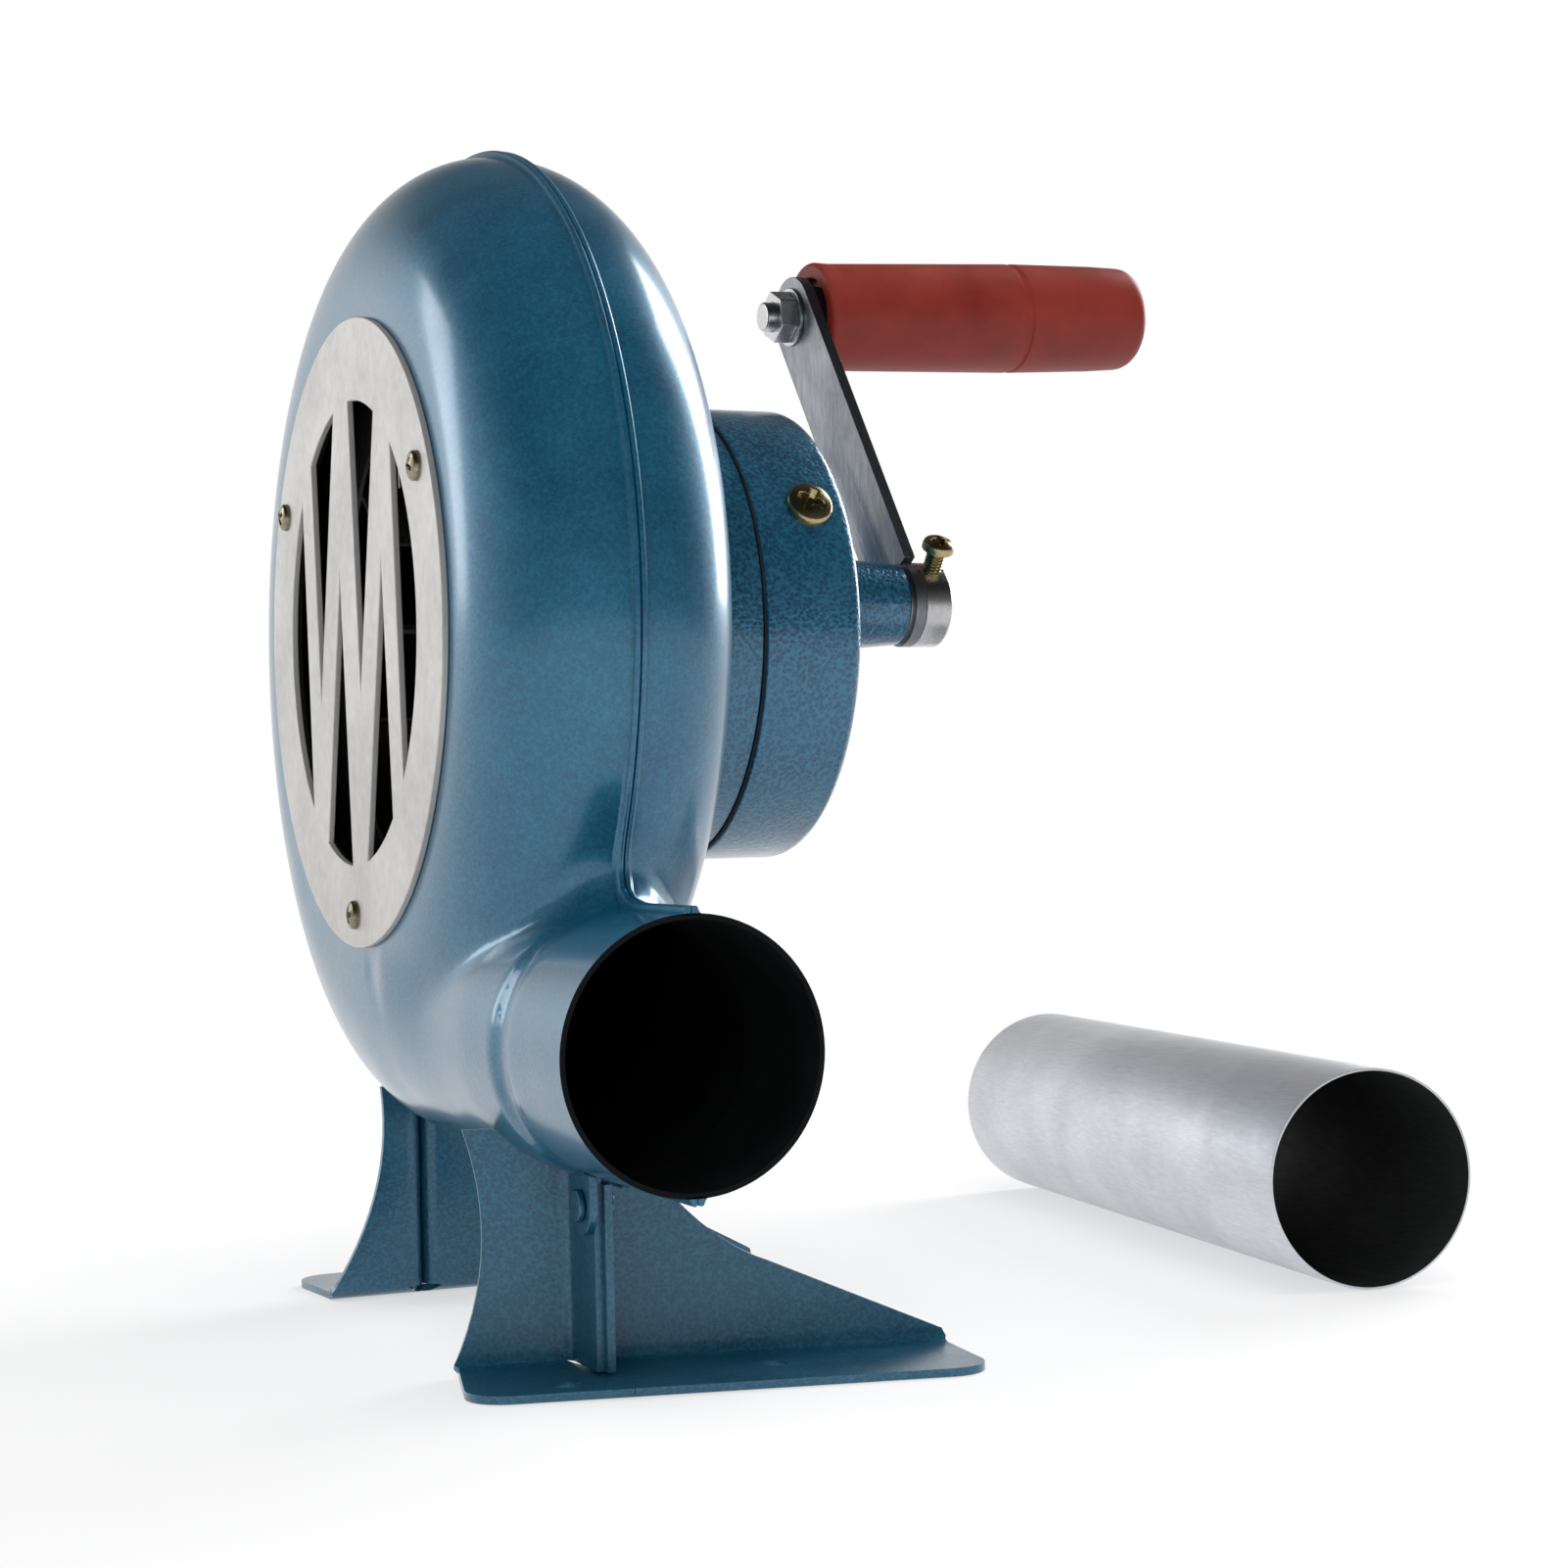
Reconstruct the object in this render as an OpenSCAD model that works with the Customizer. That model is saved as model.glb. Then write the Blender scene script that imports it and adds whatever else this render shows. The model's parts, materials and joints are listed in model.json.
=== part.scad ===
// Hand-cranked forge blower with a loose discharge pipe.
// Row frame: origin at floor level in the centre of the four foot holes, +X along the shafts
// towards the crank, -Y where the outlet blows, +Z up. Millimetres.
// The pieces are drawn in the casing frame (fan axis, seam plane) and placed by at_casing().

/* [Casing] */
// Radius of the first, smallest scroll arc at the seam
scroll_r = 114.5; // [95:0.5:135]
// Growth of the scroll radius for each quarter turn
scroll_step = 4; // [2:0.5:6]
// Depth of the grille side shell from the seam plane
front_depth = 31.2; // [24:0.1:34]
// Depth of the gearbox side shell from the seam plane
rear_depth = 32; // [27:0.1:38]
// Thickness of the casing sheet
sheet_t = 1.2; // [0.8:0.1:2]
// Height of the folded seam rim above the sheet
rim_h = 1.6; // [1:0.1:3]
// Width of the folded seam rim on each side of the seam plane
rim_w = 1.4; // [1:0.1:2.5]
// Height of the fan axis above the floor
axis_h = 168; // [155:1:205]

/* [Outlet nozzle] */
// Outer radius of the nozzle
nozzle_r = 29.3; // [24:0.1:36]
// Distance from the fan axis to the nozzle mouth
nozzle_reach = 138.4; // [125:0.1:170]
// How far the pipe goes into the nozzle
pipe_seat = 44; // [30:1:50]

/* [Intake grille] */
// Width of flat casing face left outside the grille
grille_margin = 6.8; // [5:0.1:20]
// Width of the solid rim of the grille
grille_rim = 20; // [14:0.5:26]
// Thickness of the grille plate
grille_t = 1.6; // [1:0.1:3]
// Distance from the grille edge to its screws
grille_screw_edge = 8; // [6:0.5:10]
// Distance between neighbouring slot tips
slot_pitch = 37; // [33:0.5:40]

/* [Feet] */
// Thickness of the foot sheet
foot_t = 1.8; // [1.2:0.1:3]
// Distance from the fan axis to the web of the front foot
front_web_y = 83; // [75:0.5:95]
// Distance from the fan axis to the web of the rear foot
rear_web_y = 36; // [28:0.5:50]
// Angle by which the front foot is splayed
splay = 12; // [0:1:18]
// Depth of the bottom flanges
flange_d = 34.5; // [30:0.5:42]
// Place of the rib, where the two halves of a foot meet
rib_x = -6.6; // [-10:0.1:0]
// Depth of the rib
rib_d = 18; // [12:0.5:22]
// Left end of the flanges
foot_left = 34.5; // [30:0.5:42]
// Right end of the front flange
foot_right = 79; // [70:0.5:95]
// Radius of the four fixing holes
foot_hole_r = 3; // [2:0.1:4]
// Spacing of the fixing holes along X
hole_dx = 48; // [44:1:52]
// Spacing of the fixing holes along Y
hole_dy = 160; // [154:1:164]

/* [Gearbox] */
// Gap between the idler gear's teeth and the neck wall
gear_gap = 1.75; // [1.5:0.25:5]
// Wall of the gearbox neck
neck_wall = 4; // [3:0.5:6]
// Length of the gearbox neck
neck_len = 21; // [19:0.5:26]
// Step from the neck up to the cover
cover_step = 0.9; // [0.5:0.1:2]
// Length of the cover
cover_len = 25.5; // [25:0.5:32]
// Wall of the cover
cover_wall = 4; // [3:0.1:5]
// Rounding of the cover's outer edge
cover_round = 3.5; // [1:0.5:6]
// Length of the crank bearing boss
boss_len = 32; // [24:1:40]
// Radius of the crank bearing boss at its end
boss_r = 10.5; // [9:0.1:12]

/* [Gears] */
// Gear module
gear_m = 1; // [0.8:0.05:1.2]
// Teeth of the crank gear
crank_teeth = 46; // [46:2:50]
// Teeth of the idler pinion
idler_pinion_teeth = 14; // [14:1:16]
// Teeth of the idler gear
idler_teeth = 44; // [44:2:48]
// Teeth of the fan pinion
fan_teeth = 12; // [12:1:14]
// Face width of the gears
gear_w = 6; // [4:0.5:7]

/* [Shafts] */
// Radius of the crank shaft
crank_shaft_r = 5; // [4:0.1:6]
// Radius of the fan shaft
fan_shaft_r = 3.5; // [2.5:0.1:3.7]
// Radius of the idler pin
idler_pin_r = 3; // [2:0.1:4]
// Wall of the bushes
bush_wall = 2.5; // [1.5:0.1:3]

/* [Crank] */
// Offset of the crank shaft from the fan axis along Y
crank_y = -8; // [-10:0.5:-4]
// Offset of the crank shaft from the fan axis along Z
crank_z = 7.5; // [5:0.5:9]
// Length of the crank arm between its centres
arm_len = 99; // [80:1:99]
// Width of the crank arm
arm_w = 22; // [20:0.5:26]
// Thickness of the crank arm
arm_t = 3; // [2:0.1:5]
// Angle by which the arm leans in towards the gearbox
arm_tilt = 3; // [0:0.5:4]
// Angle of the arm from the vertical at rest
arm_lean = 32.3; // [-180:0.1:180]
// Thickness of the clamp collar
collar_t = 7.5; // [6:0.5:10]

/* [Handle] */
// Length of the grip
grip_len = 103; // [90:1:115]
// Largest radius of the grip
grip_r = 15.4; // [14:0.1:17]
// Radius of the handle bolt
handle_bolt_r = 4; // [3:0.1:4.5]

/* [Impeller] */
// Gap between the impeller and the smallest scroll arc
fan_gap = 27; // [20:0.5:35]
// Number of blades
blades = 10; // [6:1:14]
// Thickness of the blade sheet
blade_t = 1; // [0.8:0.1:1.5]
// Radius at which the blades begin
eye_r = 38; // [30:1:44]

/* [Pipe] */
// Wall of the pipe
pipe_wall = 0.8; // [0.6:0.1:2]
// Length of the pipe
pipe_len = 220; // [150:5:240]
// Clearance of the pipe in the nozzle
pipe_gap = 0.5; // [0.3:0.1:1]
// Place of the pipe's near mouth along X from the fan axis
pipe_x = 201.8; // [200:0.1:240]
// Place of the pipe's near mouth along Y from the fan axis
pipe_y = -85; // [-100:1:-60]
// Turn of the pipe away from the outlet's direction
pipe_turn = 7.4; // [0:0.1:15]

/* [Hidden] */
$fn = 96;

press_gap = 0.02; // radial gap of pressed and screwed fits inside one body
run_gap = 0.04; // radial gap of running fits
weld_gap = 0.2; // gap left for the weld between a foot and the casing
over = 1; // how far a cutter runs past a face
cold = "#2f6f96"; // casing blue
cast = "#2b5f86"; // hammered gearbox blue
steel = "#8c8c90";
bare = "#b9babb";
zinc = "#c8b26a";
bronze = "#a8834f";
red = "#8f2f28";

// Scroll: three arcs whose centres step round a small square, tangent where they meet
step_half = scroll_step / 2;
arc_1 = [[step_half, step_half], scroll_r];
arc_2 = [[step_half, -step_half], scroll_r + scroll_step];
arc_3 = [[-step_half, -step_half], scroll_r + 2 * scroll_step];
scroll_bottom = -(step_half + arc_3[1]);
nozzle_z = scroll_bottom + nozzle_r;
throat_t = 2; // thickness of the collar that closes the end of the scroll round the nozzle
throat_gap = 0.3; // how far the collar lies inside the scroll's outline
nozzle_bore_r = nozzle_r - sheet_t;
pipe_stop = 0.7; // step in the bore behind the pipe's seat
front_flat_r = scroll_r - front_depth;
grille_r = front_flat_r - grille_margin;
intake_r = grille_r - grille_rim;
grille_x = -front_depth - grille_t;
grille_screw_r = grille_r - grille_screw_edge;
grille_screw_turn = 30;
grille_shank_r = 1.7;
grille_head_r = 3.5;
grille_head_h = 2.2;
shroud_eye_r = intake_r + 1.3; // the shroud's eye is a little wider than the intake

// Gear train: positions are (y, z) in the casing frame
crank_c = [crank_y, crank_z];
fan_c = [0, 0];
stage_1 = gear_m * (crank_teeth + idler_pinion_teeth) / 2;
stage_2 = gear_m * (idler_teeth + fan_teeth) / 2;
crank_off = norm(crank_c);
idler_along = (stage_2 * stage_2 - stage_1 * stage_1 + crank_off * crank_off) / (2 * crank_off);
idler_side = sqrt(stage_2 * stage_2 - idler_along * idler_along);
idler_c = [crank_c[0] * idler_along - crank_c[1] * idler_side,
    crank_c[1] * idler_along + crank_c[0] * idler_side] / crank_off;
pressure = 20;
wheel_add = 0.75 * gear_m; // short teeth on the wheels keep clear of the small pinions' roots
pinion_add = gear_m;
root_gap = 0.25 * gear_m;
slack = 0.12 * gear_m; // tooth thickness removed from each gear
idler_tip_r = gear_m * idler_teeth / 2 + wheel_add;

// Gearbox
plate_t = 4;
neck_x = rear_depth;
neck_inner_r = norm(idler_c) + idler_tip_r + gear_gap;
neck_r = neck_inner_r + neck_wall;
gasket_t = 0.5;
gasket_x = neck_x + neck_len;
cover_x = gasket_x + gasket_t;
cover_r = neck_r + cover_step;
cover_inner_r = cover_r - cover_wall;
cover_end = cover_x + cover_len;
spigot_r = cover_inner_r - weld_gap;
spigot_t = 3;
cover_end_wall = 3.5;
cover_screw_x = cover_x + 14.5;
spigot_len = cover_screw_x - gasket_x + 5;
cover_screw_shank = 2.5;
cover_head_r = 6;
cover_head_h = 3.6;
cover_screw_turn = -29.4; // turn of the first cover screw from the outlet side
spot_depth = 0.5; // flat seat under each cover screw
bearing_r = fan_shaft_r + bush_wall;
fan_boss_r = bearing_r + 5;
fan_boss_front = neck_x - 11;
fan_boss_end = neck_x + plate_t + 6;
fan_bush_len = 9;
idler_boss_r = idler_pin_r + 3.5;
side_gap = 0.3; // end play beside the idler and the grip
idler_gear_x = fan_boss_end + 2;
idler_boss_end = idler_gear_x - side_gap;
crank_gear_x = idler_gear_x + gear_w + 8;
crank_hub_r = crank_shaft_r + 4;
crank_hub_back = 1.5;
crank_hub_front = 2.5;
crank_gear_end = crank_gear_x + gear_w + crank_hub_front;
idler_pinion_end = crank_gear_x + gear_w + 2;
crank_bore_r = crank_shaft_r + bush_wall;
crank_boss_x = crank_gear_end + 1;
boss_end = cover_end + boss_len;
crank_bush_len = 12;
base_screw_r = neck_inner_r - 10.5;
base_screw_shank = 2;
base_head_r = 4;
base_head_h = 2.6;
idler_hub_r = gear_m * idler_pinion_teeth / 2 - pinion_add - 0.5;
crank_pin_r = 0.9;

// Crank
washer_t = 0.7;
arm_x = boss_end + washer_t + side_gap;
arm_mid = arm_x + arm_t / 2;
collar_x = arm_x + arm_t;
collar_end = collar_x + collar_t;
collar_screw_turn = 36; // lean of the clamp screw towards the outlet side
collar_screw_r = 2.5;
collar_head_r = 4.2;
collar_head_h = 3.2;
collar_head_at = arm_w / 2 + 6; // how far the clamp screw's head stands off the crank axis
washer_r = 8;
nut_x = -arm_t / 2 - 1;
nut_h = 5;
handle_seat = 5.4; // length of the steel collar between the arm and the grip
grip_start = 4; // where the grip's skirt begins, measured from the arm's middle
grip_recess_r = 10.8;
handle_collar_r = 8.5;
bolt_head_r = 6.5;
bolt_head_h = 5;
grip_bore_end = grip_start + grip_len - 12;
grip_round = 6;
groove_x = grip_start + 61.3;
groove_w = 2.4;

// Impeller
fan_r = scroll_r - sheet_t - fan_gap;
fan_back_x = 16.5;
fan_front_x = -17;
hub_r = 9;
hub_flange_r = 22;
hub_flange_t = 2.3;
hub_back = fan_back_x + blade_t + hub_flange_t;
hub_front = 2;
rivet_ring_r = 1.6;

// Pipe and fixing holes
pipe_r = nozzle_bore_r - pipe_gap;
hole_left = -18; // the left fixing holes, from the fan axis
hole_front = -106; // the front fixing holes, from the fan axis
hole_centre = [hole_left + hole_dx / 2, hole_front + hole_dy / 2];
hole_places = [for (x = [0, hole_dx], y = [0, hole_dy]) [hole_left + x, hole_front + y]];

// Feet
foot_span = 150; // more than any foot's width
foot_waist = 6.5; // how far the left edge is drawn in
foot_corner = 9; // rounding of the flanges' free corners
wing_knee = [36, 22]; // where the right wing's curved edge turns straight
wing_end_h = 4.5;
front_rib = rib_x / cos(splay);
front_high = axis_h + nozzle_z;
foot_top = front_high - 18.8; // height of the left wing's free corner, beside the nozzle
rib_top = front_high; // the ribs run up to the casing, which trims them
rear_high = axis_h - 0.75 * arc_3[1];

// Lug and its rivet
lug_w = 13;
lug_drop = 10;
lug_x = rib_x - 2 * foot_t;
rivet_r = 2;
rivet_head_r = 3.6;
rivet_head_h = 1.4;
rivet_len = 3 * foot_t;
rivet_y = -front_web_y - rib_d / 2 - 3;
rivet_z = nozzle_z - nozzle_r - 5.5;

module at_casing() translate([-hole_centre[0], -hole_centre[1], axis_h]) children();

// Places children, drawn along +Z, along +X at a (y, z) centre
module along_x(x, centre = [0, 0])
    translate([x, centre[0], centre[1]]) rotate([90, 0, 90]) children();

module rod_x(x0, x1, r, centre = [0, 0])
    along_x(x0, centre) cylinder(h = x1 - x0, r = r);

module ring_x(x0, x1, r_out, r_in, centre = [0, 0])
    along_x(x0, centre) difference() {
        cylinder(h = x1 - x0, r = r_out);
        translate([0, 0, -over]) cylinder(h = x1 - x0 + 2 * over, r = r_in);
    }

function bezier(a, b, c, n = 8) =
    [for (i = [0 : n]) let (t = i / n) (1 - t) * (1 - t) * a + 2 * t * (1 - t) * b + t * t * c];

function arc(centre, r, from, to, n = 6) =
    [for (i = [0 : n]) let (a = from + (to - from) * i / n) centre + r * [cos(a), sin(a)]];

// ---- casing ----

// Half section of the shell: a flat face and a round shoulder that ends at the seam
module shell_section(r, depth, grow = 0) {
    flat_r = r - depth;
    square([flat_r, depth + grow]);
    intersection() {
        translate([flat_r, 0]) circle(r = depth + grow);
        translate([flat_r - over, 0]) square(r);
    }
}

// Sweeps a section round one scroll arc; from and span start at the bottom and turn towards +Y
module sweep_arc(arc, from, span)
    translate([0, arc[0][0], arc[0][1]]) rotate([0, 90, 0]) rotate([0, 0, from])
        rotate_extrude(angle = span) children();

module scroll(depth, grow = 0) {
    sweep_arc(arc_1, 180, 180) shell_section(arc_1[1], depth, grow);
    sweep_arc(arc_2, 90, 90) shell_section(arc_2[1], depth, grow);
    sweep_arc(arc_3, 0, 90) shell_section(arc_3[1], depth, grow);
}

// A rod along the nozzle, from its root or from back behind it, to reach
module nozzle_rod(r, reach, back = 0, z = nozzle_z)
    translate([0, back - step_half, z]) rotate([90, 0, 0])
        cylinder(h = reach + back - step_half, r = r);

// One half of the casing as a solid, on +X
module half_outline(depth) {
    scroll(depth);
    intersection() {
        union() {
            nozzle_rod(nozzle_r, nozzle_reach, over);
            // a collar closes the scroll's end round the nozzle
            nozzle_rod(depth - throat_gap, throat_t + step_half, over, scroll_bottom + depth);
        }
        translate([0, -2 * nozzle_reach, -2 * scroll_r]) cube(4 * scroll_r);
    }
}

module half_hollow(depth) {
    // drawn from a little below the seam plane, so that the two hollows join
    translate([-over, 0, 0]) scroll(depth + over, -sheet_t);
    nozzle_rod(nozzle_bore_r - pipe_stop, nozzle_reach);
    // the pipe's seat
    nozzle_rod(nozzle_bore_r, nozzle_reach + over, pipe_seat - nozzle_reach + step_half);
}

module rim_section(r) translate([r - sheet_t, 0]) square([sheet_t + rim_h, rim_w]);

module seam_rim() {
    difference() {
        union() {
            sweep_arc(arc_1, 180, 180) rim_section(arc_1[1]);
            sweep_arc(arc_2, 90, 90) rim_section(arc_2[1]);
            sweep_arc(arc_3, 0, 90) rim_section(arc_3[1]);
        }
        nozzle_rod(nozzle_r - sheet_t / 2, 2 * nozzle_reach);
        translate([-over, -nozzle_reach, scroll_bottom + 2 * sheet_t])
            cube([4 * over, nozzle_reach + scroll_step, nozzle_r]);
    }
    for (side = [-1, 1])
        difference() {
            translate([0, -nozzle_reach, nozzle_z + side * nozzle_r - rim_h])
                cube([rim_w, nozzle_reach - (side < 0 ? step_half : nozzle_r), 2 * rim_h]);
            translate([0, over, 0]) nozzle_rod(nozzle_bore_r, nozzle_reach + 2 * over);
            scroll(rear_depth, -sheet_t);
        }
}

module casing_half(depth) {
    difference() {
        half_outline(depth);
        half_hollow(depth);
    }
    seam_rim();
}

module front_casing() color(cold) at_casing() {
    difference() {
        mirror([1, 0, 0]) casing_half(front_depth);
        rod_x(-front_depth - over, -front_depth + 2 * over, intake_r);
        grille_screw_places()
            rod_x(-front_depth - over, -front_depth + 2 * over, grille_shank_r + press_gap);
    }
}

module rear_casing() color(cold) at_casing() {
    difference() {
        casing_half(rear_depth);
        rod_x(rear_depth - 2 * over, rear_depth + over, fan_boss_r + side_gap);
        base_screw_places() rod_x(rear_depth - 2 * over, rear_depth + over, base_screw_shank + side_gap);
    }
}

// ---- intake grille ----

module grille_screw_places()
    for (a = [0, 120, 240]) rotate([a + grille_screw_turn, 0, 0])
        translate([0, grille_screw_r, 0]) children();

// One tapered slot with its tip down; the rim trims its top
module grille_slot(tip_y) {
    tip_z = -0.275 * intake_r;
    top_z = intake_r + over;
    rise = top_z - tip_z;
    polygon([[tip_y, tip_z], [tip_y + 0.093 * rise, top_z], [tip_y - 0.24 * rise, top_z]]);
}

// The outermost opening: what a leaning chord cuts off the circle
module grille_sliver() {
    chord_y = 0.72 * intake_r;
    polygon([[chord_y - 4, -intake_r], [chord_y + 4, intake_r], [2 * intake_r, intake_r],
        [2 * intake_r, -intake_r]]);
}

module grille_openings() intersection() {
    circle(r = intake_r);
    for (turn = [0, 180]) rotate(turn) {
        for (i = [0, 1]) grille_slot(slot_pitch * (0.77 - i));
        grille_sliver();
    }
}

module intake_grille() color("gainsboro") at_casing() difference() {
    along_x(grille_x) linear_extrude(grille_t) difference() {
        circle(r = grille_r);
        grille_openings();
    }
    grille_screw_places() rod_x(grille_x - over, grille_x + grille_t + over, grille_shank_r + press_gap);
}

// Pan head screw along +X with a cross recess; the head ends at x = 0 and the shank runs to +X
module pan_screw(head_r, head_h, shank_r, shank_len) difference() {
    union() {
        rod_x(-0.55 * head_h, 0, head_r);
        rod_x(-head_h, 0, 0.78 * head_r);
        rod_x(0, shank_len, shank_r);
    }
    for (turn = [0, 90]) rotate([turn, 0, 0])
        translate([-head_h - over, -0.5 * head_r, -0.11 * head_r])
            cube([over + 0.6 * head_h, head_r, 0.22 * head_r]);
}

module grille_screws() color(zinc) at_casing()
    grille_screw_places() translate([grille_x, 0, 0])
        pan_screw(grille_head_r, grille_head_h, grille_shank_r, grille_t + 5);

// ---- feet ----

// Web, bottom flange and rib flange of one half of a foot. The web stands at y = 0 and the
// flange runs to -Y; side is -1 for the half left of the rib and 1 for the right half.
module foot_half(side, outline, end, turn, web_rib) intersection() {
    foot_sheet(side, outline, end, turn, web_rib);
    // the halves meet in the rib's plane
    translate([web_rib, 0, 0]) rotate([0, 0, turn]) translate([side < 0 ? -foot_span : 0, -foot_span, 0])
        cube([foot_span, 2 * foot_span, axis_h]);
}

module foot_sheet(side, outline, end, turn, web_rib) {
    // web
    translate([0, foot_t / 2, 0]) rotate([90, 0, 0]) linear_extrude(foot_t) polygon(outline);
    // bottom flange with a rounded end
    linear_extrude(foot_t)
        polygon(concat([[web_rib, foot_t / 2], [web_rib + flange_d * tan(turn), -flange_d]],
            arc([side * (end - foot_corner), foot_corner - flange_d], foot_corner, 270, 270 + side * 90),
            [[side * (end - 3), foot_t / 2]]));
    // rib flange, kept square to the outlet
    translate([web_rib, 0, 0]) rotate([0, 0, turn])
        translate([side < 0 ? -foot_t : 0, -rib_d, 0]) cube([foot_t, rib_d, rib_top]);
}

function left_wing(top_x, bottom_x, top_h, high, rib) = concat(
    [[rib, 0], [rib, high], [top_x + 10, high], [top_x + 10, top_h]],
    bezier([top_x, top_h], [(top_x + bottom_x) / 2 + 1.6 * foot_waist, 0.5 * top_h], [bottom_x, 0]));

function right_wing(start, knee, end_x, high, rib) = concat(
    [[rib, 0], [rib, high], [start[0] - 4, high]],
    bezier(start, [(start[0] + knee[0]) / 2, knee[1] + 5], knee),
    [[end_x, wing_end_h], [end_x + 1, 0]]);

module at_front_foot() translate([0, -front_web_y, -axis_h]) rotate([0, 0, -splay]) children();

module at_rear_foot() translate([0, rear_web_y, -axis_h]) mirror([0, 1, 0]) children();

// Foot sheets are trimmed to the casing and drilled at the fixing holes
module trim_foot() difference() {
    children();
    scroll(rear_depth, weld_gap);
    mirror([1, 0, 0]) scroll(front_depth, weld_gap);
    nozzle_rod(nozzle_r + weld_gap, nozzle_reach + over);
    difference() {
        translate([-rim_w - weld_gap, 0, 0])
            rod_x(0, 2 * (rim_w + weld_gap), arc_3[1] + rim_h + weld_gap, arc_3[0]);
        translate([-2 * over, -2 * nozzle_reach, -2 * scroll_r])
            cube([4 * over, 2 * nozzle_reach - step_half, 2 * scroll_r]);
    }
    translate([-rim_w - weld_gap, -nozzle_reach - over, nozzle_z - nozzle_r - rim_h - weld_gap])
        cube([2 * (rim_w + weld_gap), nozzle_reach + over, nozzle_r]);
    for (p = hole_places) translate([p[0], p[1], -axis_h - over])
        cylinder(h = foot_t + 2 * over, r = foot_hole_r);
}

module front_foot_left() color(cold) at_casing() difference() {
    trim_foot() at_front_foot()
        foot_half(-1, left_wing(3 - foot_left, -foot_left, foot_top, front_high, front_rib),
            foot_left, splay, front_rib);
    rivet_place() rod_x(-over, rivet_len, rivet_r + press_gap);
}

module front_foot_right() color(cold) at_casing() difference() {
    trim_foot() at_front_foot()
        foot_half(1, right_wing([8, foot_top - 8], wing_knee, foot_right - 3, front_high, front_rib),
            foot_right, splay, front_rib);
    rivet_place() rod_x(-over, rivet_len, rivet_r + press_gap);
}

module rear_foot_left() color(cold) at_casing() trim_foot() {
    at_rear_foot() foot_half(-1, left_wing(17 - foot_left, 3 - foot_left, foot_top, rear_high, rib_x),
        foot_left - 2, 0, rib_x);
}

module rear_foot_right() color(cold) at_casing() trim_foot() {
    at_rear_foot()
        foot_half(1, right_wing([22, foot_top + 4], wing_knee + [8, 4], foot_right + 5, rear_high, rib_x),
            foot_right + 8, 0, rib_x);
}

module rivet_place() translate([lug_x, rivet_y, rivet_z]) children();

// Lug under the nozzle, riveted to the rib
module nozzle_lug() color(cold) at_casing() difference() {
    translate([lug_x, rivet_y, rivet_z]) rotate([90, 0, 90]) linear_extrude(foot_t) {
        circle(r = lug_w / 2);
        translate([-lug_w / 2, 0]) square([lug_w, lug_drop]);
    }
    nozzle_rod(nozzle_r + press_gap, nozzle_reach + over);
    rivet_place() rod_x(-over, rivet_len, rivet_r + press_gap);
}

module lug_rivet() color(steel) at_casing() rivet_place() {
    rod_x(0, rivet_len, rivet_r);
    rod_x(-rivet_head_h, 0, rivet_head_r);
    rod_x(rivet_len, rivet_len + rivet_head_h, rivet_head_r);
}

// ---- gearbox ----

module base_screw_places()
    for (a = [0 : 90 : 270]) rotate([a, 0, 0]) translate([0, base_screw_r, 0]) children();

// Two screws hold the cover's skirt on the spigot; children run inwards along -Y
module cover_screw_places()
    for (a = [0, 180]) rotate([a + cover_screw_turn, 0, 0])
        translate([cover_screw_x, -cover_r, 0]) children();

module radial_rod(from, to, r) rotate([-90, 0, 0]) translate([0, 0, from]) cylinder(h = to - from, r = r);

module gearbox_base() color(cold) at_casing() difference() {
    union() {
        ring_x(neck_x, gasket_x, neck_r, neck_inner_r);
        ring_x(idler_gear_x + gear_w + over, gasket_x, neck_r, spigot_r - spigot_t);
        ring_x(gasket_x - over, gasket_x + spigot_len, spigot_r, spigot_r - spigot_t);
        rod_x(neck_x, neck_x + plate_t, neck_r - over);
        rod_x(fan_boss_front, fan_boss_end, fan_boss_r);
        rod_x(neck_x, idler_boss_end, idler_boss_r, idler_c);
    }
    rod_x(fan_boss_front - over, fan_boss_end + over, bearing_r + press_gap);
    rod_x(neck_x + over, idler_boss_end + over, idler_pin_r + press_gap, idler_c);
    base_screw_places() rod_x(neck_x - over, neck_x + plate_t + over, base_screw_shank + press_gap);
    cover_screw_places() radial_rod(0, cover_wall + spigot_t + 2 * over, cover_screw_shank + press_gap);
}

module base_screws() color(zinc) at_casing() base_screw_places()
    translate([neck_x - sheet_t, 0, 0])
        pan_screw(base_head_r, base_head_h, base_screw_shank, sheet_t + plate_t + over);

module gasket() color("dimgray") at_casing()
    ring_x(gasket_x, cover_x, neck_r + 0.3, spigot_r + press_gap);

module gear_cover() color(cast) at_casing() difference() {
    union() {
        // drum with a rounded outer edge
        along_x(0) rotate_extrude() {
            translate([0, cover_x]) square([cover_r, cover_len - cover_round]);
            translate([0, cover_x]) square([cover_r - cover_round, cover_len]);
            translate([cover_r - cover_round, cover_end - cover_round]) circle(r = cover_round);
        }
        // crank boss, a little thicker at its root
        along_x(cover_end - over, crank_c) cylinder(h = boss_len + over, r1 = boss_r + 1.5, r2 = boss_r);
    }
    difference() {
        rod_x(cover_x - over, cover_end - cover_end_wall, cover_inner_r);
        rod_x(crank_boss_x, cover_end, crank_bore_r + cover_end_wall, crank_c);
        rod_x(idler_pinion_end + over, cover_end, idler_boss_r, idler_c);
    }
    rod_x(cover_x, boss_end + over, crank_bore_r + press_gap, crank_c);
    rod_x(cover_x, cover_end - cover_end_wall - over, idler_pin_r + press_gap, idler_c);
    cover_screw_places() {
        radial_rod(-over, cover_wall + over, cover_screw_shank + press_gap);
        radial_rod(-over, spot_depth, cover_head_r + press_gap);
    }
}

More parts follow.
